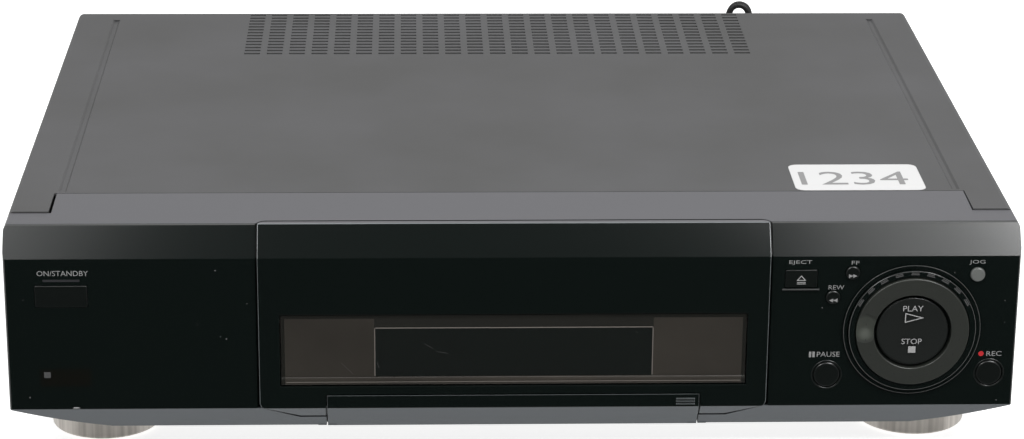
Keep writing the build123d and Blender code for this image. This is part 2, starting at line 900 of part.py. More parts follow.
# ---------------------------------------------------------------- chassis and rear panel
chassis_half = half_width - cover_sheet - 0.2
chassis_floor_half = half_width - 21.0
chassis_step = 4.0
chassis_wall_top = 34.0
chassis_front = depth(side_strip_start + 0.2)
floor_top = foot_height + chassis_sheet
rear_plate = 1.0
rear_inner_y = rear_panel_y - rear_plate
with BuildPart() as bottom_chassis:
    with BuildSketch(front_plane(rear_inner_y)):
        with BuildLine():
            step_x = chassis_floor_half + 10.0
            thin = chassis_sheet
            Polyline(
                (-chassis_half, chassis_wall_top),
                (-chassis_half, foot_height + chassis_step),
                (-step_x, foot_height + chassis_step),
                (-chassis_floor_half, foot_height),
                (chassis_floor_half, foot_height),
                (step_x, foot_height + chassis_step),
                (chassis_half, foot_height + chassis_step),
                (chassis_half, chassis_wall_top),
                (chassis_half - thin, chassis_wall_top),
                (chassis_half - thin, foot_height + chassis_step + thin),
                (step_x - thin / 2, foot_height + chassis_step + thin),
                (chassis_floor_half - thin / 2, floor_top),
                (thin / 2 - chassis_floor_half, floor_top),
                (thin / 2 - step_x, foot_height + chassis_step + thin),
                (thin - chassis_half, foot_height + chassis_step + thin),
                (thin - chassis_half, chassis_wall_top),
                close=True,
            )
        make_face()
    extrude(amount=rear_inner_y - chassis_front)
    for side in (-1, 1):
        for screw_y in cover_screw_y:
            hole_span = sorted((side * (half_width - 5), side * half_width))
            add(rod_x(screw_y, cover_screw_z, 1.3, hole_span), mode=Mode.SUBTRACT)
    # cooling slots in the floor
    with BuildSketch(Plane.XY.offset(foot_height - 1)):
        with Locations((-150, depth(180)), (150, depth(180))):
            with GridLocations(8.0, 60.0, 7, 2):
                Rectangle(3.0, 40.0)
    extrude(amount=3, mode=Mode.SUBTRACT)
keep(bottom_chassis.part, "bottom_chassis")

tuner_x = (15.0 - half_width, 59.0 - half_width)
aerial_x = (tuner_x[0] + tuner_x[1]) / 2
aerial_z = (48.0, 70.0)
aerial_radius = 4.8
scart_x = (tuner_x[1] + 44.0, tuner_x[1] + 106.0)
scart_z = 62.0
scart_shell = (49.0, 15.0)
line_x = tuple(scart_x[1] + 50.0 + 14.0 * column for column in range(3))
line_z = (55.0, 73.0)
jack_radius = 4.15
relief_half = 4.6
rear_screw_x = (10.0 - half_width, scart_x[1] + 30.0, line_x[-1] + 52.0, half_width - 10.0)
rear_screw_z = 96.0
with BuildPart() as rear_panel:
    with BuildSketch(front_plane(rear_panel_y)):
        with BuildLine():
            Polyline(
                (-chassis_half, foot_height + chassis_step),
                (-chassis_half, inner_top - 4.0),
                (4.0 - chassis_half, inner_top - 0.1),
                (chassis_half - 4.0, inner_top - 0.1),
                (chassis_half, inner_top - 4.0),
                (chassis_half, foot_height + chassis_step),
                (chassis_floor_half + 10.0, foot_height + chassis_step),
                (chassis_floor_half, foot_height),
                (-chassis_floor_half, foot_height),
                (-chassis_floor_half - 10.0, foot_height + chassis_step),
                close=True,
            )
        make_face()
        for socket_z in aerial_z:
            with Locations((aerial_x, socket_z)):
                Circle(aerial_radius + 1.6, mode=Mode.SUBTRACT)
        for socket_x in scart_x:
            with Locations((socket_x, scart_z)):
                Rectangle(scart_shell[0] + 1, scart_shell[1] + 1, mode=Mode.SUBTRACT)
        for jack_x in line_x:
            for jack_z in line_z:
                with Locations((jack_x, jack_z)):
                    Circle(jack_radius + 0.5, mode=Mode.SUBTRACT)
        with Locations((lead_x, lead_z)):
            Rectangle(2 * relief_half, 2 * relief_half, mode=Mode.SUBTRACT)
        for screw_x in rear_screw_x:
            with Locations((screw_x, rear_screw_z)):
                Circle(1.6, mode=Mode.SUBTRACT)
    extrude(amount=rear_plate)
    # a row of tall cooling slots on the power side
    with BuildSketch(front_plane(rear_panel_y + 1)):
        with Locations((half_width - 47.0, 62.0)):
            with GridLocations(7.0, 1.0, 9, 1):
                Rectangle(3.0, 36.0)
    extrude(amount=4, mode=Mode.SUBTRACT)
keep(rear_panel.part, "rear_panel")

# ---------------------------------------------------------------- case screws
head_play = 0.1
with BuildPart() as case_screws:
    for side in (-1, 1):
        for screw_y in cover_screw_y:
            add(
                sink_x(
                    screw_y, cover_screw_z, cover_screw_radius - head_play, screw_head - head_play,
                    side * (half_width - cover_sheet), side * half_width,
                )
            )
            shank = sorted((side * (half_width - 6), side * (half_width - cover_sheet / 2)))
            add(rod_x(screw_y, cover_screw_z, cover_screw_radius - 2 * head_play - 0.15, shank))
    for screw_x in rear_screw_x:
        add(rod_y(screw_x, rear_screw_z, 3.0, (rear_panel_y, rear_panel_y + 1.6)))
        add(rod_y(screw_x, rear_screw_z, 1.4, (rear_panel_y - 6, rear_panel_y + 0.5)))
keep(case_screws.part, "case_screws")

# ---------------------------------------------------------------- feet
with BuildPart() as foot_pads:
    for side in (-1, 1):
        add(
            rod_z(
                side * front_foot_x, depth(front_foot_y), foot_radius - front_pad_inset,
                (0, pad_thickness),
            )
        )
        add(
            rod_z(
                side * rear_foot_x, depth(rear_foot_y), rear_foot_radius - rear_pad_inset,
                (0, pad_thickness),
            )
        )
keep(foot_pads.part, "foot_pads")

foot_places = {
    "foot_front_left": (-front_foot_x, front_foot_y, foot_radius, front_pad_inset),
    "foot_front_right": (front_foot_x, front_foot_y, foot_radius, front_pad_inset),
    "foot_rear_left": (-rear_foot_x, rear_foot_y, rear_foot_radius, rear_pad_inset),
    "foot_rear_right": (rear_foot_x, rear_foot_y, rear_foot_radius, rear_pad_inset),
}
pad_play = 0.05
for foot_name, (foot_x, foot_y, radius, pad_inset) in foot_places.items():
    with BuildPart() as foot:
        add(rod_z(foot_x, depth(foot_y), radius, (pad_thickness - 0.5, foot_height)))
        fillet(foot.faces().sort_by(Axis.Z)[0].edges(), 1.0)
        add(
            rod_z(foot_x, depth(foot_y), radius - pad_inset + pad_play, (0, pad_thickness)),
            mode=Mode.SUBTRACT,
        )
    keep(foot.part, foot_name)

# ---------------------------------------------------------------- front boards and display
switch_half = 3.0


def switch_at(x, z):
    """A push switch on the front board, its plunger side towards the front."""
    return block(
        (x - switch_half, x + switch_half),
        (switch_face, board_front),
        (z - switch_half, z + switch_half),
    )


pin_gap = 0.3
with BuildPart() as display_tube:
    tube_x = (display_x - display_size[0] / 2 + 0.5, display_x + display_size[0] / 2 - 0.5)
    tube_z = (display_z - display_size[2] / 2 + 0.5, display_z + display_size[2] / 2 - 0.5)
    add(
        rounded_opening(
            tube_x,
            (high(tube_z[0]), high(tube_z[1])),
            (depth(fascia_depth + pin_gap), depth(fascia_depth + pin_gap + display_size[1])),
            1.0,
        )
    )
    pin_y = (depth(fascia_depth + display_size[1]), board_front)
    for leg_x in (tube_x[0] + 3, display_x, tube_x[1] - 3):
        add(rod_y(leg_x, high(display_z), 0.8, pin_y))
keep(display_tube.part, "display_tube")


def board_legs(middles, board_bottom):
    """Legs of a front board, standing on the chassis floor."""
    legs = []
    for x in middles:
        leg_y = (board_front, board_front + board_sheet)
        legs.append(block((x - 4, x + 4), leg_y, (floor_top, board_bottom + 0.5)))
    return legs


power_x, power_z, _radius = rect_buttons["power_button"]
power_middle = (sum(power_x) / 2, high(sum(power_z) / 2))
with BuildPart() as front_board_left:
    add(
        block(
            (8.0 - half_width, -centre_half - 5.6),
            (board_front, board_front + board_sheet),
            (high(6.0), high(66.0)),
        )
    )
    add(switch_at(*power_middle))
    add(board_legs((8.0 - chassis_floor_half, -centre_half - 17.6), high(6.0)))
keep(front_board_left.part, "front_board_left")

with BuildPart() as front_board_right:
    add(
        block(
            (centre_half + 3.6, half_width - 6.0),
            (board_front, board_front + board_sheet),
            (high(4.0), high(68.0)),
        )
    )
    eject_x, eject_z, _radius = rect_buttons["eject_button"]
    add(switch_at(sum(eject_x) / 2, high(sum(eject_z) / 2)))
    for x, z, radius in round_buttons.values():
        add(switch_at(x, high(z)))
    for post_z in (-rocker_post_z, rocker_post_z):
        add(switch_at(dial_x, high(dial_z + post_z)))
    add(board_legs((centre_half + 17.6, chassis_floor_half - 8.0), high(4.0)))
keep(front_board_right.part, "front_board_right")

# ---------------------------------------------------------------- sockets behind the door
front_jack_x = (-60.0, -46.0, -32.0)
front_jack_z = -0.6
tub_front = 14.0
with BuildPart() as jack_plate:
    add(
        block(
            (0.5 - compartment_half, compartment_half - 0.5),
            (depth(tub_front), depth(tub_front + 1.6)),
            (high(-8.5), high(7.5)),
        )
    )
    for jack_x in front_jack_x:
        add(
            rod_y(jack_x, high(front_jack_z), jack_radius + 0.1, (depth(10), depth(20))),
            mode=Mode.SUBTRACT,
        )
    # two feet reach down to the front panel's floor
    for foot_x in (-70.0, 70.0):
        add(
            block(
                (foot_x - 3, foot_x + 3),
                (depth(tub_front), depth(tub_front + 5)),
                (foot_height + panel_wall, high(-8.0)),
            )
        )
keep(jack_plate.part, "jack_plate")

jack_bore = 1.6
jack_mouth = 7.5


def phono_jack(x, z, mouth_y, back_y, toward):
    """A phono socket along Y: barrel, flange on its panel and the contact's hole."""
    ends = sorted((mouth_y, back_y))
    barrel = rod_y(x, z, jack_radius, ends)
    bore_ends = sorted((mouth_y - toward * 7.0, mouth_y + toward))
    return barrel - rod_y(x, z, jack_bore, bore_ends)


# ---------------------------------------------------------------- inventory label
label_x = (half_width - 90.7, half_width - 33.5)
label_y = (47.5, 82.0)
label_sheet = 0.15
with BuildPart() as number_label:
    with BuildSketch(Plane.XY.offset(cover_top)):
        with Locations(((label_x[0] + label_x[1]) / 2, depth((label_y[0] + label_y[1]) / 2))):
            RectangleRounded(label_x[1] - label_x[0], label_y[1] - label_y[0], 4.0)
    extrude(amount=label_sheet)
keep(number_label.part, "number_label")

# ---------------------------------------------------------------- main board
board_level = 21.0
board_top = board_level + board_sheet
deck_half = 106.0
main_board_x = (9.0 - half_width, -deck_half - 4.0)
main_board_y = (60.0, body_depth - 9.4)
# shares of the board's width, and distances from its front edge
chip_places = ((0.27, 40.0, 24.0), (0.74, 36.0, 16.0), (0.29, 100.0, 14.0), (0.69, 90.0, 28.0))
capacitor_places = ((0.09, 60.0), (0.48, 68.0), (0.90, 68.0), (0.08, 130.0), (0.84, 130.0))


def on_main_board(share, distance):
    """The place on the main board at a share of its width and this far behind its front edge."""
    across = main_board_x[0] + share * (main_board_x[1] - main_board_x[0])
    return across, depth(main_board_y[0] + distance)


with BuildPart() as main_board:
    add(
        block(
            main_board_x,
            (depth(main_board_y[0]), depth(main_board_y[1])),
            (board_level, board_top),
        )
    )
    # standoffs reach down to the chassis floor
    for post_x in (8.0 - chassis_floor_half, main_board_x[1] - 8.0):
        for post_y in (main_board_y[0] + 10.0, main_board_y[0] + 130.0, main_board_y[1] - 13.0):
            add(rod_z(post_x, depth(post_y), 2.5, (floor_top, board_level + 0.5)))
    # chips and capacitors soldered to it
    for share, distance, chip_side in chip_places:
        chip_x, chip_y = on_main_board(share, distance)
        half = chip_side / 2
        add(
            block(
                (chip_x - half, chip_x + half),
                (chip_y - half, chip_y + half),
                (board_top, board_top + 2.6),
            )
        )
    for share, distance in capacitor_places:
        add(rod_z(*on_main_board(share, distance), 4.0, (board_top, board_top + 12.0)))
keep(main_board.part, "main_board")

# ---------------------------------------------------------------- power supply
supply_x = (deck_half + 6.0, half_width - 9.0)
supply_y = (150.0, body_depth - 9.4)
with BuildPart() as power_supply_board:
    add(
        block(supply_x, (depth(supply_y[0]), depth(supply_y[1])), (board_level, board_top))
    )
    for post_x in (supply_x[0] + 6.0, supply_x[1] - 18.0):
        for post_y in (supply_y[0] + 8.0, supply_y[1] - 8.0):
            add(rod_z(post_x, depth(post_y), 2.5, (floor_top, board_level + 0.5)))
    # mains capacitors stand on the board
    for can_x, can_y, can_radius, can_height in (
        (supply_x[0] + 18.0, supply_y[0] + 28.0, 11.0, 32.0),
        (supply_x[0] + 16.0, supply_y[0] + 90.0, 6.0, 20.0),
        (supply_x[1] - 13.0, supply_y[1] - 18.0, 8.0, 26.0),
    ):
        add(rod_z(can_x, depth(can_y), can_radius, (board_top, board_top + can_height)))
keep(power_supply_board.part, "power_supply_board")

core_y = supply_y[0] + 55.0
core_x = (supply_x[1] - 51.0, supply_x[1] - 7.0)
winding_inset = 8.0
with BuildPart() as transformer:
    add(block(core_x, (depth(core_y - 9), depth(core_y + 9)), (board_top, board_top + 38.0)))
    add(
        block(
            (core_x[0] + winding_inset, core_x[1] - winding_inset),
            (depth(core_y - 17), depth(core_y + 17)),
            (board_top + 7, board_top + 31),
        )
    )
keep(transformer.part, "transformer")

fin_count = 7
fin_pitch = 5.0
fin_sheet = 1.6
sink_x_low = supply_x[0] + 33.0
sink_y = supply_y[0] + 112.0
sink_top = 70.0
with BuildPart() as heat_sink:
    sink_base_y = (depth(sink_y), depth(sink_y + 3))
    add(block((sink_x_low, sink_x_low + 34.0), sink_base_y, (board_top, sink_top)))
    for fin in range(fin_count):
        fin_x = sink_x_low + fin * fin_pitch + 1.0
        add(
            block(
                (fin_x, fin_x + fin_sheet),
                (depth(sink_y + 2.5), depth(sink_y + 18)),
                (board_top, sink_top),
            )
        )
keep(heat_sink.part, "heat_sink")

# ---------------------------------------------------------------- sockets at the back
with BuildPart() as tuner_module:
    add(block(tuner_x, (depth(body_depth - 92.4), rear_inner_y), (board_top, 80.0)))
    fillet(tuner_module.edges().filter_by(Axis.Z), 1.0)
    # the two aerial sockets stand on the can's back
    for socket_z in aerial_z:
        add(rod_y(aerial_x, socket_z, aerial_radius, (rear_inner_y - 2, rear_panel_y + jack_reach)))
        add(
            rod_y(aerial_x, socket_z, aerial_radius - 1.2, (rear_inner_y + 2, rear_panel_y + 20)),
            mode=Mode.SUBTRACT,
        )
        add(rod_y(aerial_x, socket_z, 1.2, (rear_inner_y, rear_panel_y + jack_reach - 1)))
keep(tuner_module.part, "tuner_module")

with BuildPart() as scart_sockets:
    for socket_x in scart_x:
        half_w, half_h = scart_shell[0] / 2, scart_shell[1] / 2
        add(
            block(
                (socket_x - half_w, socket_x + half_w),
                (rear_panel_y - 16, rear_panel_y + 0.8),
                (scart_z - half_h, scart_z + half_h),
            )
        )
        # the mating hollow with its contact tongue left standing
        add(
            block(
                (socket_x - half_w + 1.5, socket_x + half_w - 1.5),
                (rear_panel_y - 9, rear_panel_y + 3),
                (scart_z - half_h + 1.5, scart_z + half_h - 1.5),
            )
            - block(
                (socket_x - half_w + 5, socket_x + half_w - 5),
                (rear_panel_y - 9, rear_panel_y - 1),
                (scart_z - 2.2, scart_z + 2.2),
            ),
            mode=Mode.SUBTRACT,
        )
keep(scart_sockets.part, "scart_sockets")

with BuildPart() as phono_jacks:
    for jack_x in front_jack_x:
        add(phono_jack(jack_x, high(front_jack_z), depth(jack_mouth), depth(tub_front + 4), -1))
    for jack_x in line_x:
        for jack_z in line_z:
            add(phono_jack(jack_x, jack_z, rear_panel_y + jack_reach, rear_inner_y - 2, 1))
    add(
        block(
            (line_x[0] - 7, line_x[-1] + 7),
            (rear_inner_y - 12, rear_inner_y),
            (line_z[0] - 8, line_z[-1] + 8),
        )
    )
    for jack_x in line_x:
        for jack_z in line_z:
            add(
                rod_y(jack_x, jack_z, jack_bore, (rear_panel_y + 1, rear_panel_y + 20)),
                mode=Mode.SUBTRACT,
            )
keep(phono_jacks.part, "phono_jacks")

socket_board_x = (scart_x[0] - 28.0, line_x[-1] + 12.0)
socket_board_y = (rear_panel_y - 17.6, rear_panel_y - 16.0)
with BuildPart() as socket_board:
    # carries the wide sockets and the line jacks from behind
    add(
        block(socket_board_x, socket_board_y, (scart_z - 12, scart_z + 24))
        + block((socket_board_x[0], socket_board_x[0] + 4.0), socket_board_y, (board_top, scart_z))
    )
    # two legs reach down to the chassis floor
    for leg_x in (scart_x[0] + 12.0, socket_board_x[1] - 4.0):
        add(block((leg_x - 3, leg_x + 3), socket_board_y, (floor_top, scart_z)))
    # blocks that carry the line jacks' housing
    add(
        block(
            (line_x[0] - 5, line_x[-1] + 5),
            (socket_board_y[1], rear_inner_y - 12),
            (line_z[0] - 3, line_z[-1] + 3),
        )
    )
keep(socket_board.part, "socket_board")

# ---------------------------------------------------------------- mechanism deck
deck_bottom = 22.0
deck_top = 23.5
reel_x = 47.0
reel_y = 150.0
reel_pin_radius = 1.5
drum_y = body_depth - 75.4
drum_radius = 31.0
deck_y = (50.0, drum_y + 40.0)
capstan_place = (52.0, drum_y - 26.0)
capstan_radius = 2.0
pivot_place = (84.0, drum_y - 4.0)
pivot_radius = 2.0
pinch_reach = 30.0
pinch_rest_angle = 184.3
pinch_place = (
    pivot_place[0] + pinch_reach * -0.99719,
    pivot_place[1] + pinch_reach * -0.07498,
)
with BuildPart() as mechanism_deck:
    deck_span_y = (depth(deck_y[0]), depth(deck_y[1]))
    deck_post_z = (deck_top - 0.5, deck_top + 9.0)
    add(block((-deck_half, deck_half), deck_span_y, (deck_bottom, deck_top)))
    for post_x in (8.0 - deck_half, deck_half - 8.0):
        for post_y in (deck_y[0] + 10.0, deck_y[1] - 10.0):
            add(rod_z(post_x, depth(post_y), 4.0, (floor_top, deck_bottom + 0.5)))
    for side in (-1, 1):
        add(rod_z(side * reel_x, depth(reel_y), reel_pin_radius, deck_post_z))
    add(rod_z(pivot_place[0], depth(pivot_place[1]), pivot_radius, deck_post_z))
    add(rod_z(capstan_place[0], depth(capstan_place[1]), 4.2, (deck_top - 0.5, deck_top + 5.5)))
    add(
        rod_z(
            capstan_place[0], depth(capstan_place[1]), capstan_radius + running_gap,
            (deck_bottom - 5, deck_top + 20),
        ),
        mode=Mode.SUBTRACT,
    )
keep(mechanism_deck.part, "mechanism_deck")

# ---------------------------------------------------------------- cassette carriage
holder_half = cassette_width / 2 + carriage_clear
holder_back = carriage_front + cassette_depth + carriage_clear
ledge_half = 78.0
holder_top = carriage_base + cassette_height + carriage_clear
rail_inner = holder_half + carriage_sheet + 2.2
rail_sheet = 1.2
guide_y = (62.0, 132.0)
lift_y = (82.0, 112.0)
guide_z = carriage_base + 13.0
guide_radius = 2.0
lift_radius = 1.6
guide_clear = 0.3
shoe_sheet = 1.0
shoe_inner = holder_half + carriage_sheet + 0.6
with BuildPart() as cassette_carriage:
    holder_y = (depth(carriage_front), depth(holder_back))
    for side in (-1, 1):
        wall_x = sorted((side * holder_half, side * (holder_half + carriage_sheet)))
        add(block(wall_x, holder_y, (carriage_base - carriage_sheet, holder_top + carriage_sheet)))
        ledge_x = sorted((side * ledge_half, side * holder_half))
        add(block(ledge_x, holder_y, (carriage_base - carriage_sheet, carriage_base)))
        for pin_y in lift_y:
            pin_x = sorted((side * holder_half, side * (shoe_inner + shoe_sheet + 0.4)))
            add(rod_x(depth(pin_y), guide_z, lift_radius, pin_x))
    add(
        block(
            (-holder_half, holder_half), holder_y, (holder_top, holder_top + carriage_sheet)
        )
    )
    for window_x in (-30.0, 30.0):
        add(
            block(
                (window_x - 20.0, window_x + 20.0),
                (depth(carriage_front + 32), depth(carriage_front + 72)),
                (holder_top - 1, holder_top + 3),
            ),
            mode=Mode.SUBTRACT,
        )
keep(cassette_carriage.part, "cassette_carriage")

# plates that run in the rails and carry the cassette carriage on its upright slots
with BuildPart() as carriage_shoes:
    for side in (-1, 1):
        plate_x = sorted((side * shoe_inner, side * (shoe_inner + shoe_sheet)))
        add(
            block(
                plate_x,
                (depth(guide_y[0] - 6), depth(guide_y[1] + 6)),
                (guide_z - carriage_drop_travel - 5, guide_z + 6),
            )
        )
        for pin_y in guide_y:
            pin_x = sorted((side * shoe_inner, side * (rail_inner + rail_sheet + 0.8)))
            add(rod_x(depth(pin_y), guide_z, guide_radius, pin_x))
        for pin_y in lift_y:
            reach = lift_radius + guide_clear
            add(
                block(
                    sorted((side * (shoe_inner - 1), side * (shoe_inner + 2))),
                    (depth(pin_y - reach), depth(pin_y + reach)),
                    (guide_z - carriage_drop_travel - reach, guide_z + reach),
                ),
                mode=Mode.SUBTRACT,
            )
keep(carriage_shoes.part, "carriage_shoes")

rail_y = (46.0, 216.0)
with BuildPart() as carriage_rails:
    for side in (-1, 1):
        rail_x = sorted((side * rail_inner, side * (rail_inner + rail_sheet)))
        add(block(rail_x, (depth(rail_y[0]), depth(rail_y[1])), (deck_top, holder_top + 6)))
        flange_x = sorted((side * rail_inner, side * (rail_inner + 6)))
        flange_y = (depth(rail_y[0]), depth(rail_y[1]))
        add(block(flange_x, flange_y, (deck_top, deck_top + rail_sheet)))
        for pin_y in guide_y:
            reach = guide_radius + guide_clear
            add(
                block(
                    sorted((side * (rail_inner - 1), side * (rail_inner + 3))),
                    (depth(pin_y - reach), depth(pin_y + carriage_in_travel + reach)),
                    (guide_z - reach, guide_z + reach),
                ),
                mode=Mode.SUBTRACT,
            )
keep(carriage_rails.part, "carriage_rails")

# ---------------------------------------------------------------- head drum
drum_shaft = 3.0
with BuildPart() as lower_drum:
    add(rod_z(0, depth(drum_y), 20.0, (deck_top, 31.0)))
    add(rod_z(0, depth(drum_y), drum_radius, (30.0, 44.4)))
    fillet(lower_drum.edges().filter_by(GeomType.CIRCLE).group_by(Axis.Z)[-1], 0.4)
    add(
        rod_z(0, depth(drum_y), drum_shaft + running_gap, (deck_top + 2, 60.0)),
        mode=Mode.SUBTRACT,
    )
keep(lower_drum.part, "lower_drum")

with BuildPart() as upper_drum:
    add(rod_z(0, depth(drum_y), drum_radius, (44.7, 62.0)))
    fillet(upper_drum.edges().filter_by(GeomType.CIRCLE), 0.6)
    add(rod_z(0, depth(drum_y), 12.0, (61.0, 67.0)))
    add(rod_z(0, depth(drum_y), drum_shaft, (deck_top + 2.3, 50.0)))
    # four head windows at the lower rim
    for turn in range(4):
        window = Pos(0, depth(drum_y), 46.2) * Rotation(0, 0, 45 + 90 * turn)
        head_slot = Pos(drum_radius - 1.0, 0, 0) * Box(3.0, 5.0, 2.0, mode=Mode.PRIVATE)
        add(window * head_slot, mode=Mode.SUBTRACT)
keep(upper_drum.part, "upper_drum")

# ---------------------------------------------------------------- capstan and pinch roller
with BuildPart() as capstan:
    add(rod_z(capstan_place[0], depth(capstan_place[1]), capstan_radius, (14.0, 58.0)))
    add(rod_z(capstan_place[0], depth(capstan_place[1]), 24.0, (14.0, 19.5)))
keep(capstan.part, "capstan")

with BuildPart() as pinch_arm:
    arm_low, arm_high = deck_top + 1.0, deck_top + 3.0
    middle = ((pivot_place[0] + pinch_place[0]) / 2, (pivot_place[1] + pinch_place[1]) / 2)
    bar = Rotation(0, 0, pinch_rest_angle) * Box(pinch_reach, 6.0, 2.0, mode=Mode.PRIVATE)
    add(Pos(middle[0], depth(middle[1]), (arm_low + arm_high) / 2) * bar)
    add(rod_z(pinch_place[0], depth(pinch_place[1]), 4.0, (arm_low, arm_high)))
    add(rod_z(pinch_place[0], depth(pinch_place[1]), 1.4, (arm_low, 56.0)))
    add(rod_z(pivot_place[0], depth(pivot_place[1]), 4.5, (deck_top + 0.2, deck_top + 8.0)))
    add(
        rod_z(
            pivot_place[0], depth(pivot_place[1]), pivot_radius + running_gap,
            (deck_top - 1, deck_top + 12),
        ),
        mode=Mode.SUBTRACT,
    )
keep(pinch_arm.part, "pinch_arm")

with BuildPart() as pinch_roller:
    add(rod_z(pinch_place[0], depth(pinch_place[1]), 7.0, (30.0, 54.0)))
    fillet(pinch_roller.edges(), 0.5)
    add(
        rod_z(pinch_place[0], depth(pinch_place[1]), 1.4 + running_gap, (20.0, 60.0)),
        mode=Mode.SUBTRACT,
    )
keep(pinch_roller.part, "pinch_roller")

# ---------------------------------------------------------------- reel tables
for reel_name, side in (("supply_reel_table", -1), ("takeup_reel_table", 1)):
    with BuildPart() as reel_table:
        add(rod_z(side * reel_x, depth(reel_y), 7.0, (deck_top + 0.2, 26.0)))
        add(rod_z(side * reel_x, depth(reel_y), 19.0, (25.5, 28.0)))
        add(rod_z(side * reel_x, depth(reel_y), 4.5, (27.5, 38.0)))
        for turn in range(3):
            fin = Pos(4.8, 0, 0) * Box(2.6, 1.2, 8.0, mode=Mode.PRIVATE)
            add(Pos(side * reel_x, depth(reel_y), 31.9) * Rotation(0, 0, 120 * turn) * fin)
        add(
            rod_z(
                side * reel_x, depth(reel_y), reel_pin_radius + running_gap,
                (deck_top - 1, deck_top + 9.4),
            ),
            mode=Mode.SUBTRACT,
        )
    keep(reel_table.part, reel_name)

# ---------------------------------------------------------------- tape path
# four guide posts, the erase head and the audio head
with BuildPart() as tape_guides:
    for post_x, behind_drum in ((-44.0, -26.0), (-38.0, 18.0), (38.0, 18.0), (28.0, -35.0)):
        post_y = depth(drum_y + behind_drum)
        add(rod_z(post_x, post_y, 2.5, (deck_top, 58.0)))
        add(rod_z(post_x, post_y, 4.0, (30.0, 32.0)))
        add(rod_z(post_x, post_y, 4.0, (52.0, 54.0)))
    for head_x, behind_drum, head_side in ((-66.0, -30.0, 12.0), (39.0, -21.0, 8.0)):
        half = head_side / 2
        head_y = drum_y + behind_drum
        add(
            block(
                (head_x - half, head_x + half),
                (depth(head_y - 4), depth(head_y + 4)),
                (deck_top, 56.0),
            )
        )
keep(tape_guides.part, "tape_guides")

with BuildPart() as loading_motor:
    motor_x, motor_z = 16.0 - deck_half, 35.0
    add(rod_y(motor_x, motor_z, 9.5, (depth(drum_y - 20), depth(drum_y + 10))))
    add(rod_y(motor_x, motor_z, 3.0, (depth(drum_y - 30), depth(drum_y - 19.5))))
    add(
        block(
            (motor_x - 7, motor_x + 7), (depth(drum_y - 16), depth(drum_y + 6)), (deck_top, 30.0)
        )
    )
keep(loading_motor.part, "loading_motor")

# ---------------------------------------------------------------- mains lead
lead_radius = lead_width / 2
relief_length = 22.0
relief_end = rear_panel_y + relief_length
with BuildPart() as strain_relief:
    neck_half = relief_half - 0.1
    add(
        block(
            (lead_x - neck_half, lead_x + neck_half),
            (rear_inner_y, rear_panel_y),
            (lead_z - neck_half, lead_z + neck_half),
        )
    )
    add(rod_y(lead_x, lead_z, 6.4, (rear_inner_y - 3, rear_inner_y)))
    add(rod_y(lead_x, lead_z, 6.4, (rear_panel_y, rear_panel_y + 2.5)))
    taper_length = relief_length - 2.0
    taper = Rotation(-90, 0, 0) * Cone(4.9, 3.5, taper_length, mode=Mode.PRIVATE)
    add(Pos(lead_x, relief_end - taper_length / 2, lead_z) * taper)
keep(strain_relief.part, "strain_relief")

# places on the lead's way: across, behind the face, above the standing surface
relief_out = body_depth - rear_inset + relief_length
lead_route = [
    (lead_x, relief_out, lead_z),
    (lead_x, relief_out + 5.2, lead_z),
    (lead_x + 1.6, relief_out + 9.6, lead_z + 3.4),
    (lead_x + 4.6, relief_out + 11.2, lead_z + 9.0),
    (lead_x + 7.4, relief_out + 10.2, lead_z + 16.2),
    (lead_x + 7.9, relief_out + 9.6, lead_z + 22.6),
    (lead_x + 10.9, relief_out + 9.4, lead_z + 25.8),
    (lead_x + 15.1, relief_out + 9.2, lead_z + 25.7),
    (lead_x + 18.1, relief_out + 9.0, lead_z + 22.6),
    (lead_x + 18.7, relief_out + 8.6, lead_z + 15.4),
    (lead_x + 20.4, relief_out + 7.2, lead_z + 1.6),
    (lead_x + 23.6, relief_out + 5.6, lead_z - 22.0),
    (lead_x + 27.2, relief_out + 5.8, lead_z - 44.0),
    (lead_x + 31.4, relief_out + 10.4, lead_z - 60.6),
    (lead_x + 34.6, relief_out + 19.0, lead_z - 70.6),
    (lead_x + 35.5, relief_out + 29.6, lead_z - 72.4),
]
points = [Vector(x, depth(y), z) for x, y, z in lead_route]
radii = []
for before, corner, after in zip(points, points[1:], points[2:]):
    arriving, leaving = corner - before, after - corner
    half_turn = arriving.get_angle(leaving) / 2
    shorter = min(arriving.length, leaving.length)
    radii.append(0.45 * shorter / tan(radians(half_turn)))
print("mains lead radii", [round(radius, 1) for radius in radii])
with BuildPart() as power_cord:
    with BuildLine() as lead_path:
        FilletPolyline(*points, radius=radii)
    with BuildSketch(Plane(origin=lead_path.line @ 0, z_dir=lead_path.line % 0)):
        Circle(lead_radius)
    sweep()
lead_length = lead_path.wire().length
print(
    "mains lead tube", round(lead_length, 1), "long, volume",
    round(power_cord.part.volume, 1), "of", round(pi * lead_radius**2 * lead_length, 1),
)
keep(power_cord.part, "power_cord")

coil_x = lead_x - 2.5
coil_y = relief_out + 38.0
coil_outer = 39.8
coil_inner = 23.6
tie_sheet = 0.8
coil_height = 11.4
coil_base = tie_sheet
with BuildPart() as cord_coil:
    coil_span = (coil_base, coil_base + coil_height)
    add(rod_z(coil_x, depth(coil_y), coil_outer, coil_span))
    add(
        rod_z(coil_x, depth(coil_y), coil_inner, (coil_base - 1, coil_base + coil_height + 1)),
        mode=Mode.SUBTRACT,
    )
    fillet(cord_coil.edges(), 2.4)
keep(cord_coil.part, "cord_coil")

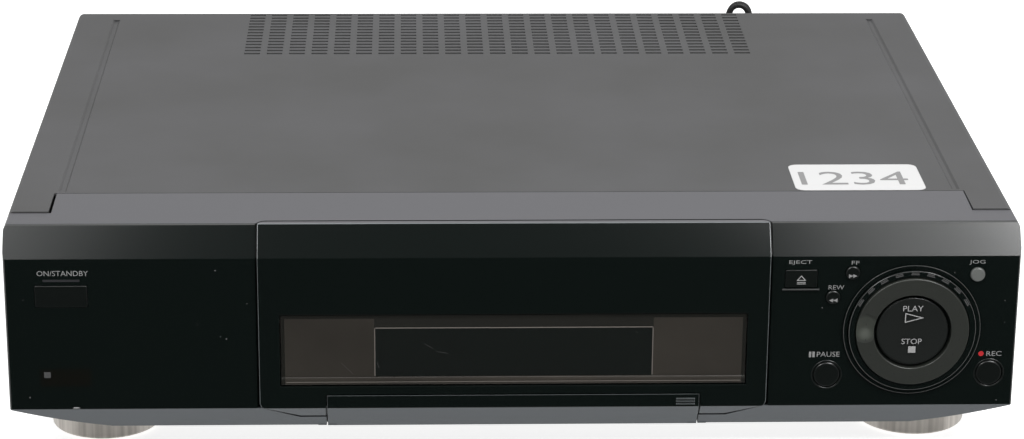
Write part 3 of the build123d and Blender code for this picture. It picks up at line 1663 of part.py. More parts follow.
tie_half = 4.0
tie_gap = 0.05
tie_low, tie_high = coil_inner - tie_gap, coil_outer + tie_gap
with BuildPart() as cord_tie:
    tie_x = (coil_x - tie_half, coil_x + tie_half)
    add(
        block(
            tie_x,
            (depth(coil_y + tie_low - 1.2), depth(coil_y + tie_high + tie_sheet)),
            (0, coil_height + 2 * tie_sheet + tie_gap),
        )
    )
    add(
        block(
            (coil_x - tie_half - 1, coil_x + tie_half + 1),
            (depth(coil_y + tie_low - 0.4), depth(coil_y + tie_high)),
            (coil_base - tie_gap, coil_base + coil_height + tie_gap),
        ),
        mode=Mode.SUBTRACT,
    )
keep(cord_tie.part, "cord_tie")

plug_turn = 125.0
plug_mid_radius = 37.6
plug_start = 15.5
plug_nose = 20.0
plug_body = 34.0
plug_width = 35.0
plug_thick = 13.7
plug_pin_length = 19.0
plug_pin_pitch = 18.6
plug_lift = plug_thick / 2
heading = plug_turn + 90.0
tangent = Vector(cos(radians(heading)), sin(radians(heading)))
coil_leave = Vector(
    coil_x + plug_mid_radius * cos(radians(plug_turn)),
    depth(coil_y) + plug_mid_radius * sin(radians(plug_turn)),
    plug_lift,
)
nose_start = coil_leave + tangent * plug_start
plug_plane = Plane(origin=nose_start, x_dir=tangent, z_dir=(0, 0, 1))
with BuildPart() as power_plug:
    with BuildSketch(plug_plane.offset(-plug_thick / 2)) as plug_outline:
        with BuildLine():
            Polyline(
                (plug_nose - 6, -5.0),
                (plug_nose + 5, -9.0),
                (plug_nose + plug_body - 12, -plug_width / 2),
                (plug_nose + plug_body, -plug_width / 2),
                (plug_nose + plug_body, plug_width / 2),
                (plug_nose + plug_body - 12, plug_width / 2),
                (plug_nose + 5, 9.0),
                (plug_nose - 6, 5.0),
                close=True,
            )
        make_face()
        fillet(plug_outline.vertices(), 2.5)
    extrude(amount=plug_thick)
    fillet(power_plug.edges().group_by(Axis.Z)[-1], 2.0)
    fillet(power_plug.edges().group_by(Axis.Z)[0], 2.0)
    with BuildSketch(Plane(origin=nose_start, z_dir=tangent)):
        Circle(3.2)
    with BuildSketch(Plane(origin=nose_start + tangent * plug_nose, z_dir=tangent)):
        Circle(4.8)
    loft()
    for side in (-1, 1):
        pin_start = plug_plane.from_local_coords(
            Vector(plug_nose + plug_body - 1, side * plug_pin_pitch / 2, 0)
        )
        with BuildSketch(Plane(origin=pin_start, z_dir=tangent)):
            Circle(2.0)
        extrude(amount=plug_pin_length + 1)
keep(power_plug.part, "power_plug")

# ---------------------------------------------------------------- files
os.makedirs("parts", exist_ok=True)
for piece in pieces:
    export_step(piece, "parts/" + piece.label + ".step")
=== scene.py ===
"""Front-loading video cassette recorder: looks, light and camera, in metres.

A place on the front is given in millimetres: X from the middle, depth behind the black face, and
height above the crease where that face meets the grey band below it.
"""
from math import cos, pi, radians, sin

import bmesh
import bpy
from mathutils import Matrix, Vector


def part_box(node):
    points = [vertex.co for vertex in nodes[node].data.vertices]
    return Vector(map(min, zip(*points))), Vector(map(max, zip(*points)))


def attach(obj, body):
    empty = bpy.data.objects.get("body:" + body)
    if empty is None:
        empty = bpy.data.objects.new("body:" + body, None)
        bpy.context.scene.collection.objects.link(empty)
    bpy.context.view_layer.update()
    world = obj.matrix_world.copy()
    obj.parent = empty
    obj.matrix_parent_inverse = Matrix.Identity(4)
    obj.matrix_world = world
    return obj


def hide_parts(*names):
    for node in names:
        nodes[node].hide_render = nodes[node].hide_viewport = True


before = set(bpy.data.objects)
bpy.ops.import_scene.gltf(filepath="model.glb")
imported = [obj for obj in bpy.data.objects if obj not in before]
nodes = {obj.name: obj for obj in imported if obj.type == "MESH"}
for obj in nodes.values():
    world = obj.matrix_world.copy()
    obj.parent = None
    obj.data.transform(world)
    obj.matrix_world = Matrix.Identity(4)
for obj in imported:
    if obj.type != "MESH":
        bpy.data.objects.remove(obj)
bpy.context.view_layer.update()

MM = 0.001
HAIR = 0.03 * MM  # how far a printed mark stands off its surface
FACE_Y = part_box("front_panel")[0][1]  # the black face
CREASE_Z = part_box("left_fascia")[0][2]  # the fold between the black face and the grey band below
dial_low, dial_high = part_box("shuttle_ring")
DIAL_X = (dial_low[0] + dial_high[0]) / 2 / MM  # the dial's middle, in millimetres
DIAL_Z = ((dial_low[2] + dial_high[2]) / 2 - CREASE_Z) / MM
window_low, window_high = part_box("flap_window")
WINDOW_HALF = window_high[0] / MM  # the dark window in the flap, in millimetres
WINDOW_SPAN = ((window_low[2] - CREASE_Z) / MM, (window_high[2] - CREASE_Z) / MM)

# how far faces stand proud of the black one, in millimetres
IR_PROUD, WINDOW_PROUD, LIP_PROUD = 0.05, 0.1, 0.9
EJECT_PROUD, ARROW_KEY_PROUD = 0.2, 1.2
BEZEL_PROUD, RING_PROUD, ROCKER_PROUD, JOG_PROUD = 0.8, 2.2, 2.6, 3.5


def depth(distance):
    """Y of a place this many millimetres behind the black face."""
    return FACE_Y + distance * MM


def high(distance):
    """Z of a place this many millimetres above the crease."""
    return CREASE_Z + distance * MM


def printed_on(proud):
    """Y of a mark on a face that stands this many millimetres proud."""
    return depth(-proud) - HAIR


def on_dial(radius, angle):
    """X and height of a place round the dial's middle, in millimetres."""
    return DIAL_X + radius * cos(angle), DIAL_Z + radius * sin(angle)


def shown(name, data):
    """An object of the scene that shows this data."""
    made = bpy.data.objects.new(name, data)
    bpy.context.scene.collection.objects.link(made)
    return made


# ---------------------------------------------------------------- camera
CAMERA_PLACE = Vector((-0.0444, -1.37565, 0.5464))
YAW, PITCH, ROLL = radians(2.038), radians(19.829), radians(0.495)
LENS, SENSOR = 108.02, 36.0  # in millimetres

forward = Vector((sin(YAW) * cos(PITCH), cos(YAW) * cos(PITCH), -sin(PITCH)))
level_right = Vector((cos(YAW), -sin(YAW), 0))
level_up = level_right.cross(forward)
right = cos(ROLL) * level_right + sin(ROLL) * level_up
up = cos(ROLL) * level_up - sin(ROLL) * level_right
camera_data = bpy.data.cameras.new("camera")
camera_data.lens = LENS
camera_data.sensor_width = SENSOR
camera_data.clip_start = 0.05
camera_data.clip_end = 30.0
camera = shown("camera", camera_data)
turn = Matrix((right, up, -forward)).transposed().to_4x4()
camera.matrix_world = Matrix.Translation(CAMERA_PLACE) @ turn
bpy.context.scene.camera = camera


# ---------------------------------------------------------------- colours and shader nodes
def tone(red, green, blue):
    """A colour from 0 to 255 screen levels."""
    return tuple((level / 255.0) ** 2.2 for level in (red, green, blue))


def grey(level):
    """A neutral colour from a 0 to 255 screen level."""
    return tone(level, level, level)


def material(name, colour, rough, metal=0.0, specular=0.5):
    """A principled material with uniform numbers."""
    made = bpy.data.materials.new(name)
    made.use_nodes = True
    shader = made.node_tree.nodes["Principled BSDF"]
    shader.inputs["Base Color"].default_value = (*colour, 1.0)
    shader.inputs["Roughness"].default_value = rough
    shader.inputs["Metallic"].default_value = metal
    shader.inputs["Specular IOR Level"].default_value = specular
    return made


def feed(made, socket, output):
    """Feeds an output into the material's shader."""
    tree = made.node_tree
    tree.links.new(output, tree.nodes["Principled BSDF"].inputs[socket])


def coordinate(tree, kind="Object"):
    """The place on the part, in metres, or another coordinate."""
    return tree.nodes.new("ShaderNodeTexCoord").outputs[kind]


def parts_of(tree, vector):
    """The outputs X, Y and Z of a vector."""
    split = tree.nodes.new("ShaderNodeSeparateXYZ")
    tree.links.new(vector, split.inputs[0])
    return split.outputs


def worked(tree, operation, first, second=None):
    """The output of one calculation; the second side can be an output or a number."""
    node = tree.nodes.new("ShaderNodeMath")
    node.operation = operation
    tree.links.new(first, node.inputs[0])
    if isinstance(second, float):
        node.inputs[1].default_value = second
    elif second is not None:
        tree.links.new(second, node.inputs[1])
    return node.outputs[0]


def above(tree, value, limit):
    """1 where the value is over the limit, else 0."""
    return worked(tree, "GREATER_THAN", value, limit)


def mixed(tree, factor, first, second):
    """A colour mix; each side is a colour or another node's output."""
    mix = tree.nodes.new("ShaderNodeMix")
    mix.data_type = "RGBA"
    tree.links.new(factor, mix.inputs["Factor"])
    for socket, value in (("A", first), ("B", second)):
        target = [s for s in mix.inputs if s.name == socket and s.type == "RGBA"][0]
        if isinstance(value, tuple):
            target.default_value = (*value, 1.0)
        else:
            tree.links.new(value, target)
    return [s for s in mix.outputs if s.type == "RGBA"][0]


def spread(tree, value, source, target=(0.0, 1.0), smooth=False):
    """Maps a value from one range to another."""
    node = tree.nodes.new("ShaderNodeMapRange")
    if smooth:
        node.interpolation_type = "SMOOTHSTEP"
    for socket, number in zip(("From Min", "From Max", "To Min", "To Max"), (*source, *target)):
        node.inputs[socket].default_value = number
    tree.links.new(value, node.inputs["Value"])
    return node.outputs["Result"]


def noise(tree, place, scale, detail, rough=0.5):
    """A cloudy pattern over a place."""
    node = tree.nodes.new("ShaderNodeTexNoise")
    node.inputs["Scale"].default_value = scale
    node.inputs["Detail"].default_value = detail
    node.inputs["Roughness"].default_value = rough
    tree.links.new(place, node.inputs["Vector"])
    return node.outputs["Fac"]


def near(tree, place, middle, outer, inner):
    """1 within the inner distance of a middle, and 0 beyond the outer one."""
    apart = tree.nodes.new("ShaderNodeVectorMath")
    apart.operation = "DISTANCE"
    tree.links.new(place, apart.inputs[0])
    apart.inputs[1].default_value = middle
    return spread(tree, apart.outputs["Value"], (outer, inner), smooth=True)


GRAIN_DETAIL = 2.0


def fine_grain(made, scale, strength, distance):
    """A fine painted or moulded texture as a small bump."""
    tree = made.node_tree
    bump = tree.nodes.new("ShaderNodeBump")
    bump.inputs["Strength"].default_value = strength
    bump.inputs["Distance"].default_value = distance
    tree.links.new(noise(tree, coordinate(tree), scale, GRAIN_DETAIL), bump.inputs["Height"])
    feed(made, "Normal", bump.outputs["Normal"])


# ---------------------------------------------------------------- plain materials
BLACK = tone(16, 20, 19)
BAND_GREY = tone(66, 70, 73)
STRIP_GREY = tone(72, 72, 75)
GLOSS_ROUGH, SATIN_ROUGH = 0.14, 0.45

gloss_black = material("gloss_black", BLACK, GLOSS_ROUGH)
satin_black = material("satin_black", tone(17, 19, 19), 0.34)
button_black = material("button_black", tone(17, 20, 19), 0.3)
rocker_black = material("rocker_black", tone(26, 28, 27), 0.32)
window_dark = material("window_dark", tone(23, 25, 24), 0.12)
indicator = material("indicator", tone(40, 40, 42), 0.3, specular=0.3)
ir_filter = material("ir_filter", tone(19, 19, 17), 0.12)
# painted highlight: a light grey for the rounded edges of the door and the power and eject buttons
painted_edge_highlight = material("painted_edge_highlight", tone(62, 65, 66), 0.25)
jog_key = material("jog_key", tone(76, 78, 76), 0.4)
bare_steel = material("bare_steel", grey(160), 0.38, metal=0.9)
screw_steel = material("screw_steel", grey(170), 0.3, metal=1.0)
rubber = material("rubber", grey(28), 0.75, specular=0.25)
display_glass = material("display_glass", tone(18, 26, 26), 0.08)
circuit_board = material("circuit_board", tone(118, 92, 48), 0.55)
label_film = material("label_film", grey(178), 0.5, specular=0.3)
core_steel = material("core_steel", grey(70), 0.5, metal=0.3)
drum_alloy = material("drum_alloy", grey(205), 0.18, metal=1.0)
jack_brass = material("jack_brass", tone(196, 176, 120), 0.3, metal=1.0)
white_plastic = material("white_plastic", grey(205), 0.45)
lead_black = material("lead_black", grey(30), 0.5, specular=0.3)
fine_grain(lead_black, 900.0, 0.15, 0.0002)
print_grey = material("print_grey", grey(104), 0.6, specular=0.1)
print_light = material("print_light", grey(118), 0.6, specular=0.1)
print_dim = material("print_dim", grey(60), 0.6, specular=0.1)
print_red = material("print_red", tone(142, 34, 38), 0.6, specular=0.1)
ink_grey = material("ink_grey", grey(118), 0.6, specular=0.1)
# a grey for the window's real scratches, and for painted highlight lines round the dial
scratch_and_highlight_grey = material("scratch_and_highlight_grey", grey(62), 0.5, specular=0.2)
tick_dark = material("tick_dark", grey(52), 0.6, specular=0.1)
# a light grey for painted highlight lines round the flap's window and on its lip
window_highlight_grey = material("window_highlight_grey", tone(84, 80, 76), 0.35, specular=0.3)
speck = material("speck", grey(84), 0.7, specular=0.1)


# ---------------------------------------------------------------- materials that change over a piece
def painted_cover():
    """Satin grey paint with a slow, faint change of colour from handling."""
    made = material("cover_paint", grey(68), 0.5, specular=0.3)
    tree = made.node_tree
    clouds = noise(tree, coordinate(tree), 11.0, 5.0, rough=0.6)
    wear = spread(tree, clouds, (0.35, 0.75), (0.0, 0.7))
    feed(made, "Base Color", mixed(tree, wear, tone(62, 62, 62), tone(73, 73, 75)))
    fine_grain(made, 2600.0, 0.12, 0.0001)
    return made


def banded(name, axis, strip_after):
    """Gloss black above the crease, and satin grey below it and past a place on an axis."""
    made = material(name, BLACK, GLOSS_ROUGH)
    tree = made.node_tree
    parts = parts_of(tree, coordinate(tree))
    is_upper = above(tree, parts["Z"], CREASE_Z)
    is_strip = above(tree, parts[axis], strip_after)
    gloss, satin = (GLOSS_ROUGH,) * 3, (SATIN_ROUGH,) * 3
    for socket, below, middle, top in (
        ("Base Color", BAND_GREY, BLACK, STRIP_GREY), ("Roughness", satin, gloss, satin),
    ):
        feed(made, socket, mixed(tree, is_upper, below, mixed(tree, is_strip, middle, top)))
    return made


def foot_metal():
    """Metallised plastic with upright streaks round the foot."""
    made = material("foot_silver", tone(200, 194, 187), 0.3, metal=0.45)
    tree = made.node_tree
    stretch = tree.nodes.new("ShaderNodeMapping")
    stretch.inputs["Scale"].default_value = (1.0, 1.0, 0.02)
    tree.links.new(coordinate(tree), stretch.inputs["Vector"])
    streak = spread(tree, noise(tree, stretch.outputs["Vector"], 420.0, 4.0), (0.3, 0.7))
    feed(made, "Base Color", mixed(tree, streak, tone(176, 170, 163), tone(222, 216, 208)))
    return made


def dial_plastic():
    """Matt grey of the jog dial, with painted shading that lightens its finger dimple and a painted
    highlight low in it.
    """
    plain, dimple_lit, bright = tone(36, 38, 35), tone(46, 49, 44), tone(62, 65, 60)
    dimple_from_middle, dimple_deep = 20.3, 0.5
    made = material("dial_grey", plain, 0.42)
    tree = made.node_tree
    place = coordinate(tree)
    dimple_x = (DIAL_X - dimple_from_middle) * MM
    whole_middle = (dimple_x, depth(-JOG_PROUD), high(DIAL_Z + 1.8))
    spot_middle = (dimple_x, depth(dimple_deep - JOG_PROUD), high(DIAL_Z - 0.6))
    # painted shading over the whole dimple, and a painted highlight spot low in it
    whole = near(tree, place, whole_middle, 6.2 * MM, 4.4 * MM)
    spot = near(tree, place, spot_middle, 3.6 * MM, 0.6 * MM)
    feed(made, "Base Color", mixed(tree, spot, mixed(tree, whole, plain, dimple_lit), bright))
    return made


def smoked_flap():
    """Smoked plastic: brown inside, darker over the window and black along its edges."""
    brown_half, brown_top = 97.4 * MM, high(40.9)
    made = material("smoked", tone(44, 44, 41), 0.2)
    tree = made.node_tree
    place = coordinate(tree)
    parts = parts_of(tree, place)
    from_middle = worked(tree, "ABSOLUTE", parts["X"])
    past_window = above(tree, from_middle, WINDOW_HALF * MM)
    over_window = above(tree, parts["Z"], high(WINDOW_SPAN[1]))
    brown = mixed(tree, noise(tree, place, 22.0, 5.0), tone(30, 29, 27), tone(52, 49, 45))
    shaded = mixed(tree, past_window, tone(31, 31, 29), brown)
    edge = tone(28, 28, 26)
    colour = mixed(tree, over_window, brown, shaded)
    colour = mixed(tree, above(tree, parts["Z"], brown_top), colour, edge)
    colour = mixed(tree, above(tree, from_middle, brown_half), colour, edge)
    feed(made, "Base Color", colour)
    return made


def painted_rim_highlight():
    """Painted highlight along the centre moulding's rounded outer edges, lighter still along the top;
    black round its opening.
    """
    outer_half, outer_top = 105.6 * MM, high(72.0)
    made = material("painted_rim_highlight", BLACK, 0.25)
    tree = made.node_tree
    parts = parts_of(tree, coordinate(tree))
    at_side = above(tree, worked(tree, "ABSOLUTE", parts["X"]), outer_half)
    at_top = above(tree, parts["Z"], outer_top)
    side = mixed(tree, at_side, BLACK, tone(80, 84, 85))
    feed(made, "Base Color", mixed(tree, at_top, side, tone(96, 100, 102)))
    return made


STRIP_FROM = 80.25  # the grey top strip starts at this height
WRAP_FROM = 7.95  # the centre moulding's grey wrap starts at this depth
cover_paint = painted_cover()
front_moulding = banded("front_moulding", "Z", high(STRIP_FROM))
centre_moulding = banded("centre_moulding", "Y", depth(WRAP_FROM))
foot_silver = foot_metal()
dial_grey = dial_plastic()
smoked = smoked_flap()

LOOKS = {
    cover_paint: ["top_cover"],
    front_moulding: ["front_panel"],
    centre_moulding: ["center_panel", "control_door"],
    gloss_black: ["left_fascia", "right_fascia", "shuttle_ring", "dial_bezel"],
    button_black: [
        "power_button", "eject_button", "fast_forward_button", "rewind_button",
        "pause_button", "record_button",
    ],
    rocker_black: ["play_stop_button"],
    jog_key: ["jog_button"],
    smoked: ["cassette_flap"],
    window_dark: ["flap_window"],
    indicator: ["power_indicator"],
    ir_filter: ["ir_window"],
    dial_grey: ["jog_dial"],
    bare_steel: [
        "bottom_chassis", "rear_panel", "tuner_module", "mechanism_deck", "carriage_rails",
        "cassette_carriage", "pinch_arm", "loading_motor",
    ],
    screw_steel: ["case_screws", "capstan", "tape_guides"],
    foot_silver: ["foot_front_left", "foot_front_right", "foot_rear_left", "foot_rear_right"],
    rubber: ["foot_pads", "pinch_roller"],
    display_glass: ["display_tube"],
    circuit_board: [
        "front_board_left", "front_board_right", "main_board", "power_supply_board", "socket_board",
    ],
    satin_black: ["jack_plate", "scart_sockets"],
    label_film: ["number_label"],
    core_steel: ["transformer"],
    drum_alloy: ["heat_sink", "lower_drum", "upper_drum"],
    jack_brass: ["phono_jacks"],
    white_plastic: ["carriage_shoes", "supply_reel_table", "takeup_reel_table"],
    lead_black: ["strain_relief", "cord_tie", "power_plug"],
}
for look, names in LOOKS.items():
    for name in names:
        mesh = nodes[name].data
        mesh.materials.clear()
        mesh.materials.append(look)

# ---------------------------------------------------------------- rounded edges
WELD_WITHIN = 0.01 * MM
EDGE_STEPS = 2
SHARPER_THAN = radians(50)
FLAT_FACE_WEIGHT = 100


def softened(names, width, edge=None):
    """Rounds the sharp edges of moulded pieces a little; the edge can have its own look."""
    for name in names:
        piece = nodes[name]
        weld = piece.modifiers.new("weld", "WELD")
        weld.merge_threshold = WELD_WITHIN
        bevel = piece.modifiers.new("edges", "BEVEL")
        bevel.width = width
        bevel.segments = EDGE_STEPS
        bevel.limit_method = "ANGLE"
        bevel.angle_limit = SHARPER_THAN
        bevel.harden_normals = True
        bevel.use_clamp_overlap = False
        if edge is not None:
            piece.data.materials.append(edge)
            bevel.material = 1
        flatten = piece.modifiers.new("even", "WEIGHTED_NORMAL")
        flatten.weight = FLAT_FACE_WEIGHT
        flatten.keep_sharp = True


# the centre moulding's rounded edges carry a painted highlight
softened(["center_panel"], 0.25 * MM, painted_rim_highlight())
# the door's and these buttons' rounded edges carry a painted highlight
softened(["control_door"], 0.18 * MM, painted_edge_highlight)
softened(["power_button", "eject_button"], 0.2 * MM, painted_edge_highlight)
softened(["pause_button", "record_button", "play_stop_button"], 0.3 * MM)

# ---------------------------------------------------------------- mains lead
LEAD_WIDTH, LEAD_THICK = 5.4 * MM, 3.3 * MM
WAIST_SHARE = 0.82  # the groove between the cores, as a share of their radius
route = [
    (0.1180, 0.18195, 0.0760), (0.1180, 0.18715, 0.0760), (0.1196, 0.19155, 0.0794),
    (0.1226, 0.19315, 0.0850), (0.1254, 0.19215, 0.0922), (0.1259, 0.19155, 0.0986),
    (0.1289, 0.19135, 0.1018), (0.1331, 0.19115, 0.1017), (0.1361, 0.19095, 0.0986),
    (0.1367, 0.19055, 0.0914), (0.1384, 0.18915, 0.0776), (0.1416, 0.18755, 0.0540),
    (0.1452, 0.18775, 0.0320), (0.1494, 0.19235, 0.0154), (0.1526, 0.20095, 0.0054),
    (0.1535, 0.21155, 0.0036),
]

# the coil winds inwards on the surface, and back outwards on top of itself
coil_low, coil_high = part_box("cord_coil")
COIL_X, COIL_Y = (coil_low[0] + coil_high[0]) / 2, (coil_low[1] + coil_high[1]) / 2
LOWER_LAYER, UPPER_LAYER = 3.6 * MM, 9.1 * MM
OUTER_TURN, INNER_TURN, TURN_PITCH = 38.0 * MM, 25.6 * MM, 3.45 * MM
TURN_POINTS = 24
WHOLE_TURNS = 7
LEAVE_ANGLE = 125.0  # where the lead leaves its coil for the plug
LEAVE_RADIUS, LEAVE_HEIGHT = 37.6 * MM, 6.85 * MM
PLUG_AFTER = 15.5 * MM
inward_turns = (OUTER_TURN - INNER_TURN) / TURN_PITCH
all_turns = WHOLE_TURNS + LEAVE_ANGLE / 360
for step in range(int(all_turns * TURN_POINTS) + 1):
    turns = step / TURN_POINTS
    if turns < inward_turns:
        radius, height = OUTER_TURN - TURN_PITCH * turns, LOWER_LAYER
    else:
        outward_turns = max(0.0, inward_turns - (all_turns - turns))
        radius, height = min(INNER_TURN + TURN_PITCH * outward_turns, OUTER_TURN), UPPER_LAYER
    angle = 2 * pi * turns
    route.append((COIL_X + radius * cos(angle), COIL_Y + radius * sin(angle), height))
leave = radians(LEAVE_ANGLE)
away = Vector((cos(leave + pi / 2), sin(leave + pi / 2), 0))
leave_place = Vector(
    (COIL_X + LEAVE_RADIUS * cos(leave), COIL_Y + LEAVE_RADIUS * sin(leave), LEAVE_HEIGHT)
)
for share in (0.55, 1.0):
    route.append(tuple(leave_place + away * PLUG_AFTER * share))


def smooth_line(points):
    """Places along one smooth curve that follows the points."""
    curve = bpy.data.curves.new("lead_line", "CURVE")
    curve.dimensions = "3D"
    curve.resolution_u = 6
    spline = curve.splines.new("NURBS")
    spline.points.add(len(points) - 1)
    for point, place in zip(spline.points, points):
        point.co = (*place, 1.0)
    spline.order_u = 3
    spline.use_endpoint_u = True
    holder = shown("lead_line", curve)
    bpy.context.view_layer.update()
    mesh = bpy.data.meshes.new_from_object(holder)
    places = [vertex.co.copy() for vertex in mesh.vertices]
    bpy.data.objects.remove(holder)
    bpy.data.meshes.remove(mesh)
    return places


line = smooth_line(route)
along = [0.0]
for before, after in zip(line, line[1:]):
    along.append(along[-1] + (after - before).length)
LEAD_LENGTH = along[-1]

# the way the lead's broad side faces: a length along it, then a direction
BROAD = [
    (0.0, Vector((1, 0, 0))), (0.008, Vector((1, 0, 0))), (0.024, Vector((0.3, 1, 0))),
    (0.052, Vector((0.2, 1, 0))), (0.085, Vector((1, 0.2, 0))), (0.130, Vector((1, 0, 0))),
    (0.150, Vector((1, 0, 1))), (0.170, Vector((0, 0, 1))),
    (LEAD_LENGTH - 0.045, Vector((0, 0, 1))),
    (LEAD_LENGTH - 0.012, Vector((-away.y, away.x, 0.1))),
    (LEAD_LENGTH, Vector((-away.y, away.x, 0))),
]


def broad_way(distance):
    """The direction across the flat lead at a length along it."""
    for (start, first), (end, second) in zip(BROAD, BROAD[1:]):
        if distance <= end:
            return first.lerp(second, (distance - start) / (end - start))
    return BROAD[-1][1]


def twin_section():
    """Outline of the flat lead: two round cores side by side."""
    core = LEAD_THICK / 2
    centre = LEAD_WIDTH / 2 - core
    outline = []
    for side in (1, -1):
        for degrees in (-90, -45, 0, 45, 90):
            turned = radians(degrees)
            outline.append((side * (centre + core * cos(turned)), side * core * sin(turned)))
        outline.append((0.0, side * core * WAIST_SHARE))
    return outline


def finished(work, name, look):
    """The object of a mesh in work, smooth and with one look."""
    bmesh.ops.recalc_face_normals(work, faces=work.faces)
    for polygon in work.faces:
        polygon.smooth = True
    data = bpy.data.meshes.new(name)
    work.to_mesh(data)
    work.free()
    data.materials.append(look)
    return shown(name, data)


section = twin_section()
lead_mesh = bmesh.new()
rings = []
for index, place in enumerate(line):
    before, after = line[max(index - 1, 0)], line[min(index + 1, len(line) - 1)]
    heading = (after - before).normalized()
    broad = broad_way(along[index])
    broad = (broad - heading * broad.dot(heading)).normalized()
    thin = heading.cross(broad)
    rings.append([lead_mesh.verts.new(place + broad * a + thin * b) for a, b in section])
for ring, following in zip(rings, rings[1:]):
    for index in range(len(section)):
        nearby = (index + 1) % len(section)
        lead_mesh.faces.new((ring[index], ring[nearby], following[nearby], following[index]))
lead_mesh.faces.new(rings[0][::-1])
lead_mesh.faces.new(rings[-1])
mains_lead = finished(lead_mesh, "mains_lead", lead_black)
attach(mains_lead, "case")
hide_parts("power_cord", "cord_coil")


# ---------------------------------------------------------------- printed marks
LEAST_SLANT = 0.3  # keeps a line's inner corner from running far off at a sharp point


class Marks:
    """Flat shapes gathered into one piece on one body."""

    def __init__(self, name, body, look, slot_name):
        self.name, self.body, self.look, self.slot_name = name, body, look, slot_name
        self.verts, self.faces = [], []

    def shape(self, corners):
        """A filled shape from its corners in metres."""
        start = len(self.verts)
        self.verts += corners
        self.faces.append(tuple(range(start, start + len(corners))))

    def polygon(self, points, y):
        """A filled shape on the front from its X and height in millimetres."""
        self.shape([(x * MM, y, high(z)) for x, z in points])

    def bar(self, x_span, z_span, y):
        """A filled rectangle on the front."""
        (x0, x1), (z0, z1) = x_span, z_span
        self.polygon([(x0, z0), (x1, z0), (x1, z1), (x0, z1)], y)

    def disc(self, x, z, radius, y, sides):
        """A filled circle on the front."""
        angles = [2 * pi * k / sides for k in range(sides)]
        self.polygon([(x + radius * cos(angle), z + radius * sin(angle)) for angle in angles], y)

    def dial_arc(self, inner, wide, start, end, y):
        """A short piece of a ring round the dial, between two angles."""
        outer = inner + wide
        ends = ((inner, start), (inner, end), (outer, end), (outer, start))
        self.polygon([on_dial(radius, angle) for radius, angle in ends], y)

    def outline(self, points, line_width, y):
        """A closed line of even width inside a convex shape on the front."""
        centre_x = sum(x for x, _z in points) / len(points)
        centre_z = sum(z for _x, z in points) / len(points)
        inner = []
        for index, here in enumerate(points):
            before, after = points[index - 1], points[(index + 1) % len(points)]
            first = Vector((here[0] - before[0], here[1] - before[1])).normalized()
            second = Vector((after[0] - here[0], after[1] - here[1])).normalized()
            normal = (Vector((-first.y, first.x)) + Vector((-second.y, second.x))).normalized()
            if normal.dot(Vector((centre_x - here[0], centre_z - here[1]))) < 0:
                normal = -normal
            slant = abs(normal.dot(Vector((-second.y, second.x))))
            shift = normal * (line_width / max(slant, LEAST_SLANT))
            inner.append((here[0] + shift.x, here[1] + shift.y))
        for index in range(len(points)):
            after = (index + 1) % len(points)
            self.polygon([points[index], points[after], inner[after], inner[index]], y)

    def ribbon(self, x_span, profile):
        """A bent strip across the front; the profile is depth and height in millimetres."""
        left, right_end = x_span
        for (y0, z0), (y1, z1) in zip(profile, profile[1:]):
            corners = ((left, y0, z0), (right_end, y0, z0), (right_end, y1, z1), (left, y1, z1))
            self.shape([(x * MM, depth(y), high(z)) for x, y, z in corners])

    def words(self, text, origin, across, upward, size):
        """Lettering scaled to a width and height from its lower left corner."""
        letters = bpy.data.curves.new("letters", "FONT")
        letters.body = text
        letters.resolution_u = 3
        holder = shown("letters", letters)
        bpy.context.view_layer.update()
        flat = bpy.data.meshes.new_from_object(holder)
        bpy.data.objects.remove(holder)
        xs = [vertex.co.x for vertex in flat.vertices]
        ys = [vertex.co.y for vertex in flat.vertices]
        scale_x = size[0] / (max(xs) - min(xs))
        scale_y = size[1] / (max(ys) - min(ys))
        start = len(self.verts)
        for x, y in zip(xs, ys):
            a, b = (x - min(xs)) * scale_x, (y - min(ys)) * scale_y
            self.verts.append(tuple(origin + across * a + upward * b))
        self.faces += [tuple(start + k for k in face.vertices) for face in flat.polygons]
        bpy.data.meshes.remove(flat)

    def legend(self, text, x_span, z_span, y):
        """Lettering on the front between two X and two heights in millimetres."""
        origin = Vector((x_span[0] * MM, y, high(z_span[0])))
        size = ((x_span[1] - x_span[0]) * MM, (z_span[1] - z_span[0]) * MM)
        self.words(text, origin, Vector((1, 0, 0)), Vector((0, 0, 1)), size)

    def place(self):
        """Makes the piece and sets it on its body."""
        data = bpy.data.meshes.new(self.name)
        data.from_pydata(self.verts, [], self.faces)
        data.materials.append(self.look)
        made = shown(self.name, data)
        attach(made, self.body)


# each control's word: its X span and its height span
LEGENDS = {
    "ON/STANDBY": ((-200.8, -179.3), (60.8, 63.1)),
    "EJECT": ((116.2, 125.9), (64.5, 66.6)),
    "FF": ((142.7, 146.0), (64.5, 66.2)),
    "REW": ((133.3, 140.0), (53.3, 55.2)),
    "JOG": ((192.8, 199.6), (64.3, 66.4)),
    "PAUSE": ((129.6, 139.4), (22.5, 24.8)),
    "REC": ((202.5, 209.0), (22.5, 24.7)),
}
face_y = printed_on(0.0)
legends = Marks("front_legends", "case", print_grey, "foot_silver")
for text, (x_span, z_span) in LEGENDS.items():
    legends.legend(text, x_span, z_span, face_y)
PAUSE_BARS_X, PAUSE_BAR_WIDE, PAUSE_BAR_SPAN = (126.2, 127.7), 1.0, (22.3, 24.9)
for bar_x in PAUSE_BARS_X:
    legends.bar((bar_x, bar_x + PAUSE_BAR_WIDE), PAUSE_BAR_SPAN, face_y)
legends.place()

# plain square on the window for the remote control
small_prints = Marks("front_small_marks", "case", print_dim, "foot_silver")
small_prints.bar((-199.6, -196.8), (14.5, 17.2), printed_on(IR_PROUD))
small_prints.place()

record_mark = Marks("record_mark", "case", print_red, "indicator")
record_mark.disc(200.2, 23.6, 1.15, face_y, sides=20)
record_mark.place()

